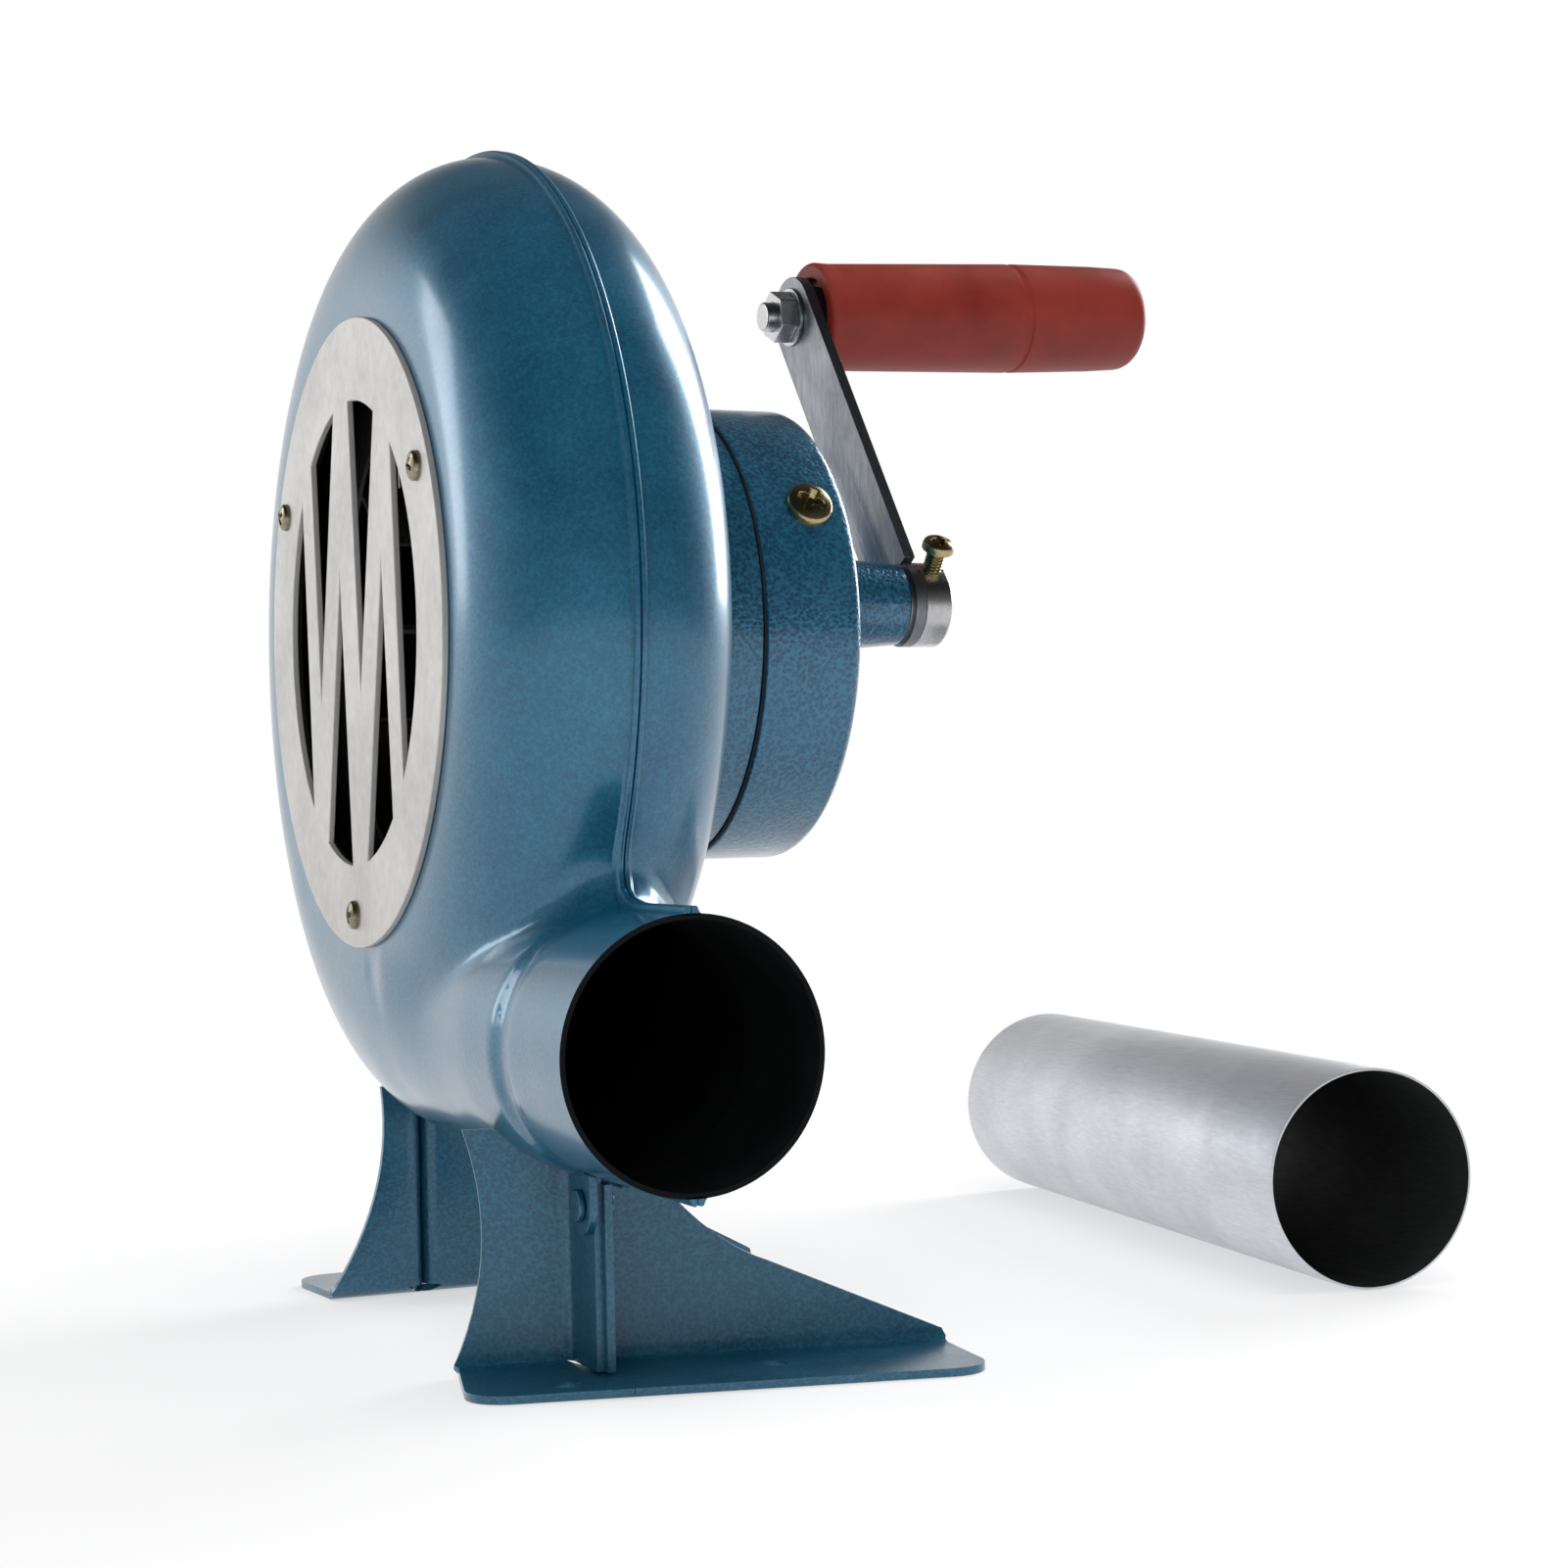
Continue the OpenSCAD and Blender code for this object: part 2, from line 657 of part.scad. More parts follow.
module cover_screws() color(zinc) at_casing() cover_screw_places()
    rotate([0, 0, 90]) translate([spot_depth, 0, 0])
        pan_screw(cover_head_r, cover_head_h, cover_screw_shank, cover_wall + spigot_t);

// ---- bushes and the fixed pin ----

module bush(x, len, shaft_r, centre)
    color(bronze) at_casing() ring_x(x, x + len, shaft_r + bush_wall, shaft_r + run_gap, centre);

module fan_bush_front() bush(fan_boss_front, fan_bush_len, fan_shaft_r, fan_c);

module fan_bush_rear() bush(fan_boss_end - fan_bush_len, fan_bush_len, fan_shaft_r, fan_c);

module crank_bush_inner() bush(crank_boss_x, crank_bush_len, crank_shaft_r, crank_c);

module crank_bush_outer() bush(boss_end - crank_bush_len, crank_bush_len, crank_shaft_r, crank_c);

module idler_pin() color(steel) at_casing()
    rod_x(neck_x + 2 * over, cover_end - cover_end_wall - 2 * over, idler_pin_r, idler_c);

// ---- gears ----

function involute(a) = tan(a) * 180 / PI - a;

// Outline of a gear with involute flanks and a tooth centred on angle 0
function gear_outline(teeth, add, flank = 4) =
    let (pitch_r = gear_m * teeth / 2,
        base_r = pitch_r * cos(pressure),
        tip_r = pitch_r + add,
        root_r = pitch_r - (add > wheel_add ? wheel_add : pinion_add) - root_gap,
        low_r = max(base_r, root_r),
        half = 90 / teeth - slack / 2 / pitch_r * 180 / PI + involute(pressure),
        side = [for (i = [0 : flank]) let (r = low_r + (tip_r - low_r) * i / flank)
            [r, half - involute(acos(min(1, base_r / r)))]],
        tooth = concat([[root_r, half - involute(acos(min(1, base_r / low_r)))]], side),
        n = len(tooth))
    [for (k = [0 : teeth - 1], i = [0 : 2 * n - 1])
        let (p = i < n ? tooth[i] : tooth[2 * n - 1 - i], s = i < n ? -1 : 1)
        p[0] * [cos(k * 360 / teeth + s * p[1]), sin(k * 360 / teeth + s * p[1])]];

// A gear along +X, turned so that a tooth, or a gap when gap is true, points along aim
module gear_x(x0, x1, teeth, add, centre, aim, gap = false)
    along_x(x0, centre) rotate(atan2(aim[1], aim[0]) + (gap ? 180 / teeth : 0))
        linear_extrude(x1 - x0) polygon(gear_outline(teeth, add));

module crank_gear() color(steel) at_casing() difference() {
    union() {
        gear_x(crank_gear_x, crank_gear_x + gear_w, crank_teeth, wheel_add, crank_c, idler_c - crank_c);
        rod_x(crank_gear_x - crank_hub_back, crank_gear_end, crank_hub_r, crank_c);
    }
    rod_x(crank_gear_x - 2 * crank_hub_back, crank_gear_end + over, crank_shaft_r + press_gap, crank_c);
    crank_pin_place() rod_pin(crank_hub_r + over, press_gap);
}

// Cross pin through the crank gear's long hub face
module crank_pin_place()
    translate([crank_gear_end - crank_hub_front / 2, crank_c[0], crank_c[1]]) children();

module rod_pin(half, grow) translate([0, 0, -half]) cylinder(h = 2 * half, r = crank_pin_r + grow);

module crank_gear_pin() color(steel) at_casing() crank_pin_place() rod_pin(crank_hub_r, 0);

module idler_pinion() color(steel) at_casing() difference() {
    union() {
        gear_x(idler_gear_x + gear_w, idler_pinion_end, idler_pinion_teeth, pinion_add, idler_c,
            crank_c - idler_c, true);
        rod_x(idler_gear_x, idler_gear_x + gear_w + over, idler_hub_r, idler_c);
    }
    rod_x(idler_gear_x - over, idler_pinion_end + over, idler_pin_r + run_gap, idler_c);
}

module idler_gear() color(steel) at_casing() difference() {
    gear_x(idler_gear_x, idler_gear_x + gear_w, idler_teeth, wheel_add, idler_c, fan_c - idler_c);
    rod_x(idler_gear_x - over, idler_gear_x + gear_w + over, idler_hub_r + press_gap, idler_c);
}

module fan_pinion() color(steel) at_casing() difference() {
    gear_x(fan_boss_end + 1, idler_gear_x + gear_w + 1, fan_teeth, pinion_add, fan_c,
        idler_c - fan_c, true);
    rod_x(fan_boss_end, idler_gear_x + gear_w + 2, fan_shaft_r + press_gap);
}

// ---- crank ----

module crank_shaft() color(steel) at_casing() difference() {
    rod_x(crank_gear_x - crank_hub_back, collar_end - over, crank_shaft_r, crank_c);
    crank_pin_place() rod_pin(crank_hub_r, press_gap);
}

module thrust_washer() color(bare) at_casing()
    ring_x(arm_x - washer_t, arm_x, boss_r - 1, crank_shaft_r + press_gap, crank_c);

// Arm frame: origin on the crank axis in the arm's middle plane, +Z towards the handle
module at_arm() translate([arm_mid, crank_c[0], crank_c[1]]) rotate([-arm_lean, 0, 0]) children();

// Handle frame: +X outwards along the handle bolt
module at_handle() at_casing() at_arm() rotate([0, -arm_tilt, 0]) translate([0, 0, arm_len]) children();

module crank_arm() color(steel) at_casing() difference() {
    at_arm() {
        rod_x(-arm_t / 2, arm_t / 2, arm_w / 2);
        rotate([0, -arm_tilt, 0]) {
            translate([-arm_t / 2, -arm_w / 2, arm_w / 3]) cube([arm_t, arm_w, arm_len - arm_w / 3]);
            rod_x(-arm_t / 2, arm_t / 2, arm_w / 2, [0, arm_len]);
        }
    }
    rod_x(arm_x - arm_t, collar_end, crank_shaft_r + press_gap, crank_c);
    at_arm() rotate([0, -arm_tilt, 0])
        rod_x(-arm_t, arm_t, handle_bolt_r + press_gap, [0, arm_len]);
    // the tilted bar stops at the washer's and the collar's faces
    rod_x(arm_x - arm_t, arm_x, boss_r, crank_c);
    rod_x(collar_x, collar_x + arm_t, arm_w / 2 + over, crank_c);
}

// Places children, drawn along +Z, along the clamp screw, starting on the crank axis
module collar_screw_place()
    translate([collar_x + collar_t / 2, crank_c[0], crank_c[1]])
        rotate([collar_screw_turn, 0, 0]) children();

module crank_collar() color(bare) at_casing() difference() {
    ring_x(collar_x, collar_end, arm_w / 2, crank_shaft_r + press_gap, crank_c);
    collar_screw_place() cylinder(h = arm_w, r = collar_screw_r + press_gap);
}

module collar_screw() color(zinc) at_casing() collar_screw_place()
    translate([0, 0, collar_head_at]) rotate([0, 90, 0])
        pan_screw(collar_head_r, collar_head_h, collar_screw_r, collar_head_at - crank_shaft_r - press_gap);

// ---- handle, drawn in the handle frame ----

module handle_washer() color(bare) at_handle()
    ring_x(nut_x, -arm_t / 2, washer_r, handle_bolt_r + press_gap);

module handle_nut() color(bare) at_handle() difference() {
    along_x(nut_x - nut_h) cylinder(h = nut_h, r = 1.8 * handle_bolt_r, $fn = 6);
    rod_x(nut_x - nut_h - over, nut_x + over, handle_bolt_r + press_gap);
}

module handle_bolt() color(bare) at_handle() {
    rod_x(nut_x - nut_h - 3, grip_bore_end + side_gap + 0.5, handle_bolt_r);
    rod_x(grip_bore_end + side_gap, grip_bore_end + side_gap + bolt_head_h, bolt_head_r);
}

module handle_collar() color(steel) at_handle()
    ring_x(arm_t / 2, arm_t / 2 + handle_seat, handle_collar_r, handle_bolt_r + press_gap);

// Barrel with a skirt round the steel collar, a fine parting groove and a rounded end
module handle_grip() color(red) at_handle() difference() {
    union() {
        along_x(0) rotate_extrude() {
            translate([0, grip_start]) square([grip_r - 0.6, grip_len - grip_round]);
            translate([0, grip_start]) square([grip_r - 0.6 - grip_round, grip_len]);
            translate([grip_r - 0.6 - grip_round, grip_start + grip_len - grip_round])
                circle(r = grip_round);
        }
        // the barrel swells a little towards the groove
        along_x(grip_start) cylinder(h = groove_x - grip_start, r1 = grip_r - 0.7, r2 = grip_r);
        along_x(groove_x + groove_w) cylinder(h = 22, r1 = grip_r, r2 = grip_r - 0.6);
    }
    rod_x(0, grip_start + grip_len, handle_bolt_r + run_gap);
    rod_x(0, arm_t / 2 + handle_seat + side_gap, grip_recess_r);
    rod_x(grip_bore_end, grip_start + grip_len + over, bolt_head_r + over);
}

// ---- impeller ----

module fan_shaft() color(steel) at_casing()
    rod_x(hub_front - 7, idler_gear_x + gear_w + 1, fan_shaft_r);

module impeller_hub() color(bare) at_casing() difference() {
    union() {
        rod_x(hub_front, hub_back, hub_r);
        rod_x(hub_back - hub_flange_t, hub_back, hub_flange_r);
    }
    rod_x(hub_front - over, hub_back + over, fan_shaft_r + press_gap);
    rivet_ring() rod_x(fan_back_x, hub_back + over, rivet_ring_r + press_gap);
}

module rivet_ring() for (a = [0 : 60 : 300])
    rotate([a, 0, 0]) translate([0, (hub_r + hub_flange_r) / 2, 0]) children();

module impeller_backplate() color(bare) at_casing() difference() {
    ring_x(fan_back_x, fan_back_x + blade_t, fan_r, hub_r + press_gap);
    rivet_ring() rod_x(fan_back_x - over, hub_back, rivet_ring_r + press_gap);
}

module impeller_rivets() color(steel) at_casing() rivet_ring() {
    rod_x(fan_back_x, hub_back, rivet_ring_r);
    rod_x(fan_back_x - 1, fan_back_x, 1.7 * rivet_ring_r);
}

// One blade: a strip of a circle between the eye and the rim
module blade_strip() {
    bend_r = 0.8 * fan_r;
    bend_c = [(fan_r + eye_r) / 2 - 6, -bend_r + 6];
    intersection() {
        difference() {
            translate(bend_c) circle(r = bend_r);
            translate(bend_c) circle(r = bend_r - blade_t);
        }
        difference() {
            circle(r = fan_r - 1.5);
            circle(r = eye_r);
        }
        translate([0, -fan_r / 4]) square(fan_r);
    }
}

module impeller_blades() color(bare) at_casing() along_x(fan_front_x)
    linear_extrude(fan_back_x - fan_front_x)
        for (i = [0 : blades - 1]) rotate(i * 360 / blades) blade_strip();

module impeller_shroud() color(bare) at_casing()
    ring_x(fan_front_x - blade_t, fan_front_x, fan_r, shroud_eye_r);

module impeller_nut() color(zinc) at_casing() difference() {
    along_x(hub_front - 5) cylinder(h = 5, r = 1.75 * fan_shaft_r, $fn = 6);
    rod_x(hub_front - 5 - over, hub_front + over, fan_shaft_r + press_gap);
}

// ---- loose discharge pipe, lying beside the blower ----

module discharge_pipe() color("silver") at_casing()
    translate([pipe_x, pipe_y, pipe_r - axis_h]) rotate([-90, 0, -pipe_turn]) difference() {
        cylinder(h = pipe_len, r = pipe_r);
        translate([0, 0, -over]) cylinder(h = pipe_len + 2 * over, r = pipe_r - pipe_wall);
    }

front_casing();
rear_casing();
intake_grille();
grille_screws();
front_foot_left();
front_foot_right();
rear_foot_left();
rear_foot_right();
nozzle_lug();
lug_rivet();
gearbox_base();
base_screws();
gasket();
gear_cover();
cover_screws();
fan_bush_front();
fan_bush_rear();
crank_bush_inner();
crank_bush_outer();
idler_pin();
crank_shaft();
crank_gear();
crank_gear_pin();
thrust_washer();
crank_arm();
crank_collar();
collar_screw();
handle_bolt();
handle_nut();
handle_washer();
handle_collar();
handle_grip();
idler_pinion();
idler_gear();
fan_shaft();
fan_pinion();
impeller_hub();
impeller_backplate();
impeller_blades();
impeller_shroud();
impeller_rivets();
impeller_nut();
discharge_pipe();
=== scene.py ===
import json
import math

import bmesh
import bpy
import numpy as np
from mathutils import Matrix, Vector, geometry


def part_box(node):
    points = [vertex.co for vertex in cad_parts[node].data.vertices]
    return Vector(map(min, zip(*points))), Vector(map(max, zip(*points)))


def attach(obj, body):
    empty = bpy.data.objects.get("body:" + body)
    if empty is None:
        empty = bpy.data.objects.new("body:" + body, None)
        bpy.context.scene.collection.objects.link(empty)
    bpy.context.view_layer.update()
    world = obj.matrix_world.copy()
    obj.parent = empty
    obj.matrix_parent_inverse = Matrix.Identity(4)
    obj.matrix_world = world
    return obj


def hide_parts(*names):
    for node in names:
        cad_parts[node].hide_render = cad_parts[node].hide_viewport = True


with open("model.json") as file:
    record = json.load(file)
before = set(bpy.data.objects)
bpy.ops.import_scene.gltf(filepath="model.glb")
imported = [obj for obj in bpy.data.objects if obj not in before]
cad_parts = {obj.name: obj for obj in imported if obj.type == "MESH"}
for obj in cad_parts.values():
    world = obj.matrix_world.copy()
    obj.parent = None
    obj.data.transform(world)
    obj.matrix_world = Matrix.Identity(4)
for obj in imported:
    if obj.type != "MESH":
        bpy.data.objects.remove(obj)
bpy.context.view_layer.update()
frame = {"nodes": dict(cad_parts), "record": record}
nodes = frame["nodes"]
scene = bpy.context.scene
mm = 0.001

# the casing's own frame: fan axis and seam plane, as the frame gives them
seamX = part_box("rear_casing")[0].x
fanAxis = (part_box("fan_shaft")[0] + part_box("fan_shaft")[1]) / 2
casingOrigin = np.array([seamX, fanAxis.y, fanAxis.z])
floorDrop = -fanAxis.z / mm


def toRow(points):
    return np.asarray(points, float) * mm + casingOrigin


def toCasing(point):
    return (np.asarray(point, float) - casingOrigin) / mm


# ---- small helpers for meshes ----

def smoothStep(t):
    t = np.clip(t, 0, 1)
    return t * t * (3 - 2 * t)


def showPiece(obj, materials, body, replaced=(), sharpAngle=40, bevel=0):
    for material in materials:
        obj.data.materials.append(material)
    if bevel:
        edge = obj.modifiers.new("edges", "BEVEL")
        edge.width = bevel * mm
        edge.segments = 2
        edge.limit_method = "ANGLE"
        edge.angle_limit = math.radians(sharpAngle)
        edge.harden_normals = True
    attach(obj, body)
    if replaced:
        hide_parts(*replaced)
    return obj


def faceOutward(mesh):
    # every closed body's faces look out of it
    work = bmesh.new()
    work.from_mesh(mesh)
    bmesh.ops.recalc_face_normals(work, faces=work.faces)
    work.to_mesh(mesh)
    work.free()


def meshPiece(name, verts, faces, sharpAngle=None):
    mesh = bpy.data.meshes.new(name)
    mesh.from_pydata([tuple(v) for v in verts], [], [tuple(f) for f in faces])
    mesh.validate()
    faceOutward(mesh)
    mesh.shade_smooth()
    if sharpAngle:
        mesh.set_sharp_from_angle(angle=math.radians(sharpAngle))
    obj = bpy.data.objects.new(name, mesh)
    scene.collection.objects.link(obj)
    return obj


def axisFrame(origin, along, up=(0, 0, 1)):
    # columns: along, side, up
    x = Vector(along).normalized()
    z = Vector(up)
    z = (z - x * z.dot(x)).normalized()
    y = z.cross(x)
    m = Matrix((x, y, z)).transposed().to_4x4()
    m.translation = Vector(origin)
    return m


def roundedProfile(corners, steps=5):
    # corners are (along, radius, rounding) of a closed profile
    points = []
    count = len(corners)
    for i, (a, r, rounding) in enumerate(corners):
        here = np.array([a, r], float)
        if not rounding:
            points.append(here)
            continue
        back = np.array(corners[i - 1][:2]) - here
        ahead = np.array(corners[(i + 1) % count][:2]) - here
        back, ahead = back / np.linalg.norm(back), ahead / np.linalg.norm(ahead)
        half = math.acos(max(-1, min(1, float(back @ ahead)))) / 2
        reach = rounding / math.tan(half)
        bisector = (back + ahead) / np.linalg.norm(back + ahead)
        centre = here + bisector * rounding / math.sin(half)
        start, end = here + back * reach - centre, here + ahead * reach - centre
        for k in range(steps + 1):
            t = k / steps
            angle = math.pi - 2 * half
            p = (math.sin((1 - t) * angle) * start + math.sin(t * angle) * end) / math.sin(angle)
            points.append(centre + p)
    return points


def lathe(profile, place, segments=96):
    # turns a closed (along, radius) profile, in mm, round the place's own X axis
    ring = []
    verts, faces = [], []
    for a, r in profile:
        if r < 1e-6:
            ring.append([len(verts)] * segments)
            verts.append(place @ (Vector((a, 0, 0)) * mm))
        else:
            ring.append(list(range(len(verts), len(verts) + segments)))
            for k in range(segments):
                t = 2 * math.pi * k / segments
                verts.append(place @ (Vector((a, r * math.cos(t), r * math.sin(t))) * mm))
    for i in range(len(profile)):
        one, two = ring[i], ring[(i + 1) % len(profile)]
        if one[0] == one[1] and two[0] == two[1]:
            continue
        for k in range(segments):
            n = (k + 1) % segments
            face = [one[k], two[k], two[n], one[n]]
            face = [v for j, v in enumerate(face) if v not in face[:j]]
            faces.append(face)
    return verts, faces


def joinParts(*parts):
    verts, faces = [], []
    for v, f in parts:
        base = len(verts)
        verts += list(v)
        faces += [[i + base for i in face] for face in f]
    return verts, faces


def softened(node, body, material, width, angle=38):
    # a copy of the CAD node with its edges eased
    mesh = nodes[node].data.copy()
    mesh.name = node + "_eased"
    mesh.materials.clear()
    work = bmesh.new()
    work.from_mesh(mesh)
    bmesh.ops.remove_doubles(work, verts=work.verts, dist=0.002 * mm)
    bmesh.ops.dissolve_limit(work, angle_limit=math.radians(0.6), verts=work.verts, edges=work.edges)
    work.to_mesh(mesh)
    work.free()
    mesh.shade_smooth()
    mesh.set_sharp_from_angle(angle=math.radians(angle))
    obj = bpy.data.objects.new(node + "_eased", mesh)
    scene.collection.objects.link(obj)
    return showPiece(obj, [material], body, [node], angle, width)


# ---- shader groups ----

def newGroup(name, inputs, outputs):
    group = bpy.data.node_groups.new(name, "ShaderNodeTree")
    for label, value in inputs.items():
        socket = group.interface.new_socket(name=label, in_out="INPUT", socket_type="NodeSocketFloat")
        socket.default_value = value
    for label in outputs:
        group.interface.new_socket(name=label, in_out="OUTPUT", socket_type="NodeSocketFloat")
    return group, group.nodes.new("NodeGroupInput"), group.nodes.new("NodeGroupOutput")


def addNode(tree, kind, links=None, **settings):
    node = tree.nodes.new(kind)
    for key, value in settings.items():
        setattr(node, key, value)
    for key, value in (links or {}).items():
        if isinstance(value, bpy.types.NodeSocket):
            tree.links.new(value, node.inputs[key])
        else:
            node.inputs[key].default_value = value
    return node


def math2(tree, operation, a, b=0.5, clamp=False):
    node = addNode(tree, "ShaderNodeMath", {0: a, 1: b}, operation=operation, use_clamp=clamp)
    return node.outputs[0]


def mapRange(tree, value, low, high, toLow, toHigh, smooth=False):
    node = addNode(tree, "ShaderNodeMapRange", {0: value, 1: low, 2: high, 3: toLow, 4: toHigh})
    if smooth:
        node.interpolation_type = "SMOOTHSTEP"
    return node.outputs[0]


def objectPoint(tree):
    return tree.nodes.new("ShaderNodeTexCoord").outputs["Object"]


def noise(tree, scale, detail, **more):
    inputs = {"Vector": objectPoint(tree), "Scale": scale, "Detail": detail, **more}
    return addNode(tree, "ShaderNodeTexNoise", inputs)


# hammered finish: shallow dimples of one size with soft ridges between them
hammerGroup, put, get = newGroup("hammered dimples", {"Cell": 0.0015, "Wander": 0.35}, ["Height", "Ridge"])
scale = math2(hammerGroup, "DIVIDE", 1.0, put.outputs["Cell"])
wander = noise(hammerGroup, scale, 2.0)
shift = addNode(hammerGroup, "ShaderNodeVectorMath", {0: wander.outputs["Color"], 1: (0.5, 0.5, 0.5)},
                operation="SUBTRACT")
reach = math2(hammerGroup, "MULTIPLY", put.outputs["Wander"], put.outputs["Cell"])
move = addNode(hammerGroup, "ShaderNodeVectorMath", {0: shift.outputs[0], "Scale": reach}, operation="SCALE")
point = addNode(hammerGroup, "ShaderNodeVectorMath", {0: objectPoint(hammerGroup), 1: move.outputs[0]},
                operation="ADD")
cells = addNode(hammerGroup, "ShaderNodeTexVoronoi", {"Vector": point.outputs[0], "Scale": scale,
                                                      "Smoothness": 0.6}, feature="SMOOTH_F1")
swell = math2(hammerGroup, "MULTIPLY", noise(hammerGroup, 420.0, 3.0).outputs["Fac"], 0.6)
height = math2(hammerGroup, "ADD", cells.outputs["Distance"], swell)
hammerGroup.links.new(height, get.inputs["Height"])
# Ridge masks the ridges between the dimples; the paints use it for painted highlight and shade
hammerGroup.links.new(mapRange(hammerGroup, cells.outputs["Distance"], 0.35, 0.75, 0.0, 1.0, True),
                      get.inputs["Ridge"])

# fine flakes in the paint or the grain of cast metal
flakeGroup, put, get = newGroup("paint flakes", {"Size": 0.0004}, ["Flake", "Cloud"])
scale = math2(flakeGroup, "DIVIDE", 1.0, put.outputs["Size"])
cells = addNode(flakeGroup, "ShaderNodeTexVoronoi", {"Vector": objectPoint(flakeGroup), "Scale": scale})
tone = addNode(flakeGroup, "ShaderNodeSeparateColor", {0: cells.outputs["Color"]})
cloud = noise(flakeGroup, 55.0, 4.0, Roughness=0.6)
flakeGroup.links.new(tone.outputs[0], get.inputs["Flake"])
flakeGroup.links.new(mapRange(flakeGroup, cloud.outputs["Fac"], 0.3, 0.7, 0.0, 1.0), get.inputs["Cloud"])

# long fine streaks, as rolling and brushing leave them
streakGroup, put, get = newGroup("rolled streaks", {"Along X": 1500.0, "Along Y": 1500.0, "Along Z": 1500.0},
                                 ["Streak", "Smudge"])
stretch = addNode(streakGroup, "ShaderNodeCombineXYZ", {0: put.outputs["Along X"], 1: put.outputs["Along Y"],
                                                        2: put.outputs["Along Z"]})
point = addNode(streakGroup, "ShaderNodeVectorMath", {0: objectPoint(streakGroup), 1: stretch.outputs[0]},
                operation="MULTIPLY")
lines = addNode(streakGroup, "ShaderNodeTexNoise", {"Vector": point.outputs[0], "Scale": 1.0, "Detail": 5.0,
                                                    "Roughness": 0.7})
smudge = noise(streakGroup, 38.0, 3.0)
streakGroup.links.new(mapRange(streakGroup, lines.outputs["Fac"], 0.3, 0.7, 0.0, 1.0), get.inputs["Streak"])
streakGroup.links.new(mapRange(streakGroup, smudge.outputs["Fac"], 0.35, 0.65, 0.0, 1.0),
                      get.inputs["Smudge"])

# painted highlight on convex edges, broken up in places
edgeHighlightGroup, put, get = newGroup("painted edge highlights", {"Edge": 0.53}, ["Worn"])
shape = addNode(edgeHighlightGroup, "ShaderNodeNewGeometry")
breakUp = mapRange(edgeHighlightGroup, noise(edgeHighlightGroup, 700.0, 4.0).outputs["Fac"], 0.35, 0.6, 0.0, 1.0)
edge = math2(edgeHighlightGroup, "SUBTRACT", shape.outputs["Pointiness"], put.outputs["Edge"])
edge = math2(edgeHighlightGroup, "MULTIPLY", edge, 14.0, True)
edgeHighlightGroup.links.new(math2(edgeHighlightGroup, "MULTIPLY", edge, breakUp, True), get.inputs["Worn"])


def placeGroup(tree, group, **values):
    node = addNode(tree, "ShaderNodeGroup")
    node.node_tree = group
    for key, value in values.items():
        node.inputs[key].default_value = value
    return node


def mixColour(tree, amount, first, second):
    node = addNode(tree, "ShaderNodeMix", data_type="RGBA")
    for key, value in {0: amount, 6: first, 7: second}.items():
        if isinstance(value, bpy.types.NodeSocket):
            tree.links.new(value, node.inputs[key])
        elif key:
            node.inputs[key].default_value = (*value, 1)
        else:
            node.inputs[key].default_value = value
    return node.outputs[2]


def newMaterial(name, **fixed):
    material = bpy.data.materials.new(name)
    material.use_nodes = True
    tree = material.node_tree
    shader = tree.nodes["Principled BSDF"]
    for key, value in fixed.items():
        shader.inputs[key.replace("_", " ")].default_value = value
    return material, tree, shader


def bumpFrom(tree, shader, height, strength, distance):
    bump = addNode(tree, "ShaderNodeBump", {"Height": height, "Strength": strength, "Distance": distance})
    tree.links.new(bump.outputs[0], shader.inputs["Normal"])


def paintMaterial(name, deep, light, cell, bumpStrength, bumpDepth, rough, dimpleShade, coatRough=0.16):
    material, tree, shader = newMaterial(name, Coat_Weight=0.8, Coat_Roughness=coatRough, Coat_IOR=1.5,
                                         Metallic=0.5)
    hammer = placeGroup(tree, hammerGroup, Cell=cell)
    flake = placeGroup(tree, flakeGroup)
    tone = math2(tree, "ADD", math2(tree, "MULTIPLY", flake.outputs["Flake"], 0.45),
                 math2(tree, "MULTIPLY", flake.outputs["Cloud"], 0.4))
    # ridges lighter and dimple floors darker: painted highlight and shade of the hammering
    tone = math2(tree, "ADD", tone, math2(tree, "MULTIPLY", hammer.outputs["Ridge"], dimpleShade), True)
    tree.links.new(mixColour(tree, tone, deep, light), shader.inputs["Base Color"])
    tree.links.new(mapRange(tree, flake.outputs["Cloud"], 0.0, 1.0, rough[0], rough[1]),
                   shader.inputs["Roughness"])
    bumpFrom(tree, shader, hammer.outputs["Height"], bumpStrength, bumpDepth)
    return material


def metalMaterial(name, dark, light, rough, along=(1500, 1500, 1500), bumpStrength=0.15, metallic=1.0,
                  edgeHighlight=0.0):
    material, tree, shader = newMaterial(name, Metallic=metallic)
    streak = placeGroup(tree, streakGroup, **{"Along X": along[0], "Along Y": along[1], "Along Z": along[2]})
    tone = math2(tree, "ADD", math2(tree, "MULTIPLY", streak.outputs["Streak"], 0.6),
                 math2(tree, "MULTIPLY", streak.outputs["Smudge"], 0.4), True)
    colour = mixColour(tree, tone, dark, light)
    if edgeHighlight:
        # convex edges mixed towards the light colour: a painted edge highlight
        edgeHighlightNode = placeGroup(tree, edgeHighlightGroup)
        colour = mixColour(tree, math2(tree, "MULTIPLY", edgeHighlightNode.outputs["Worn"], edgeHighlight), colour, light)
    tree.links.new(colour, shader.inputs["Base Color"])
    tree.links.new(mapRange(tree, tone, 0.0, 1.0, rough[1], rough[0]), shader.inputs["Roughness"])
    bumpFrom(tree, shader, streak.outputs["Streak"], bumpStrength, 0.05 * mm)
    return material
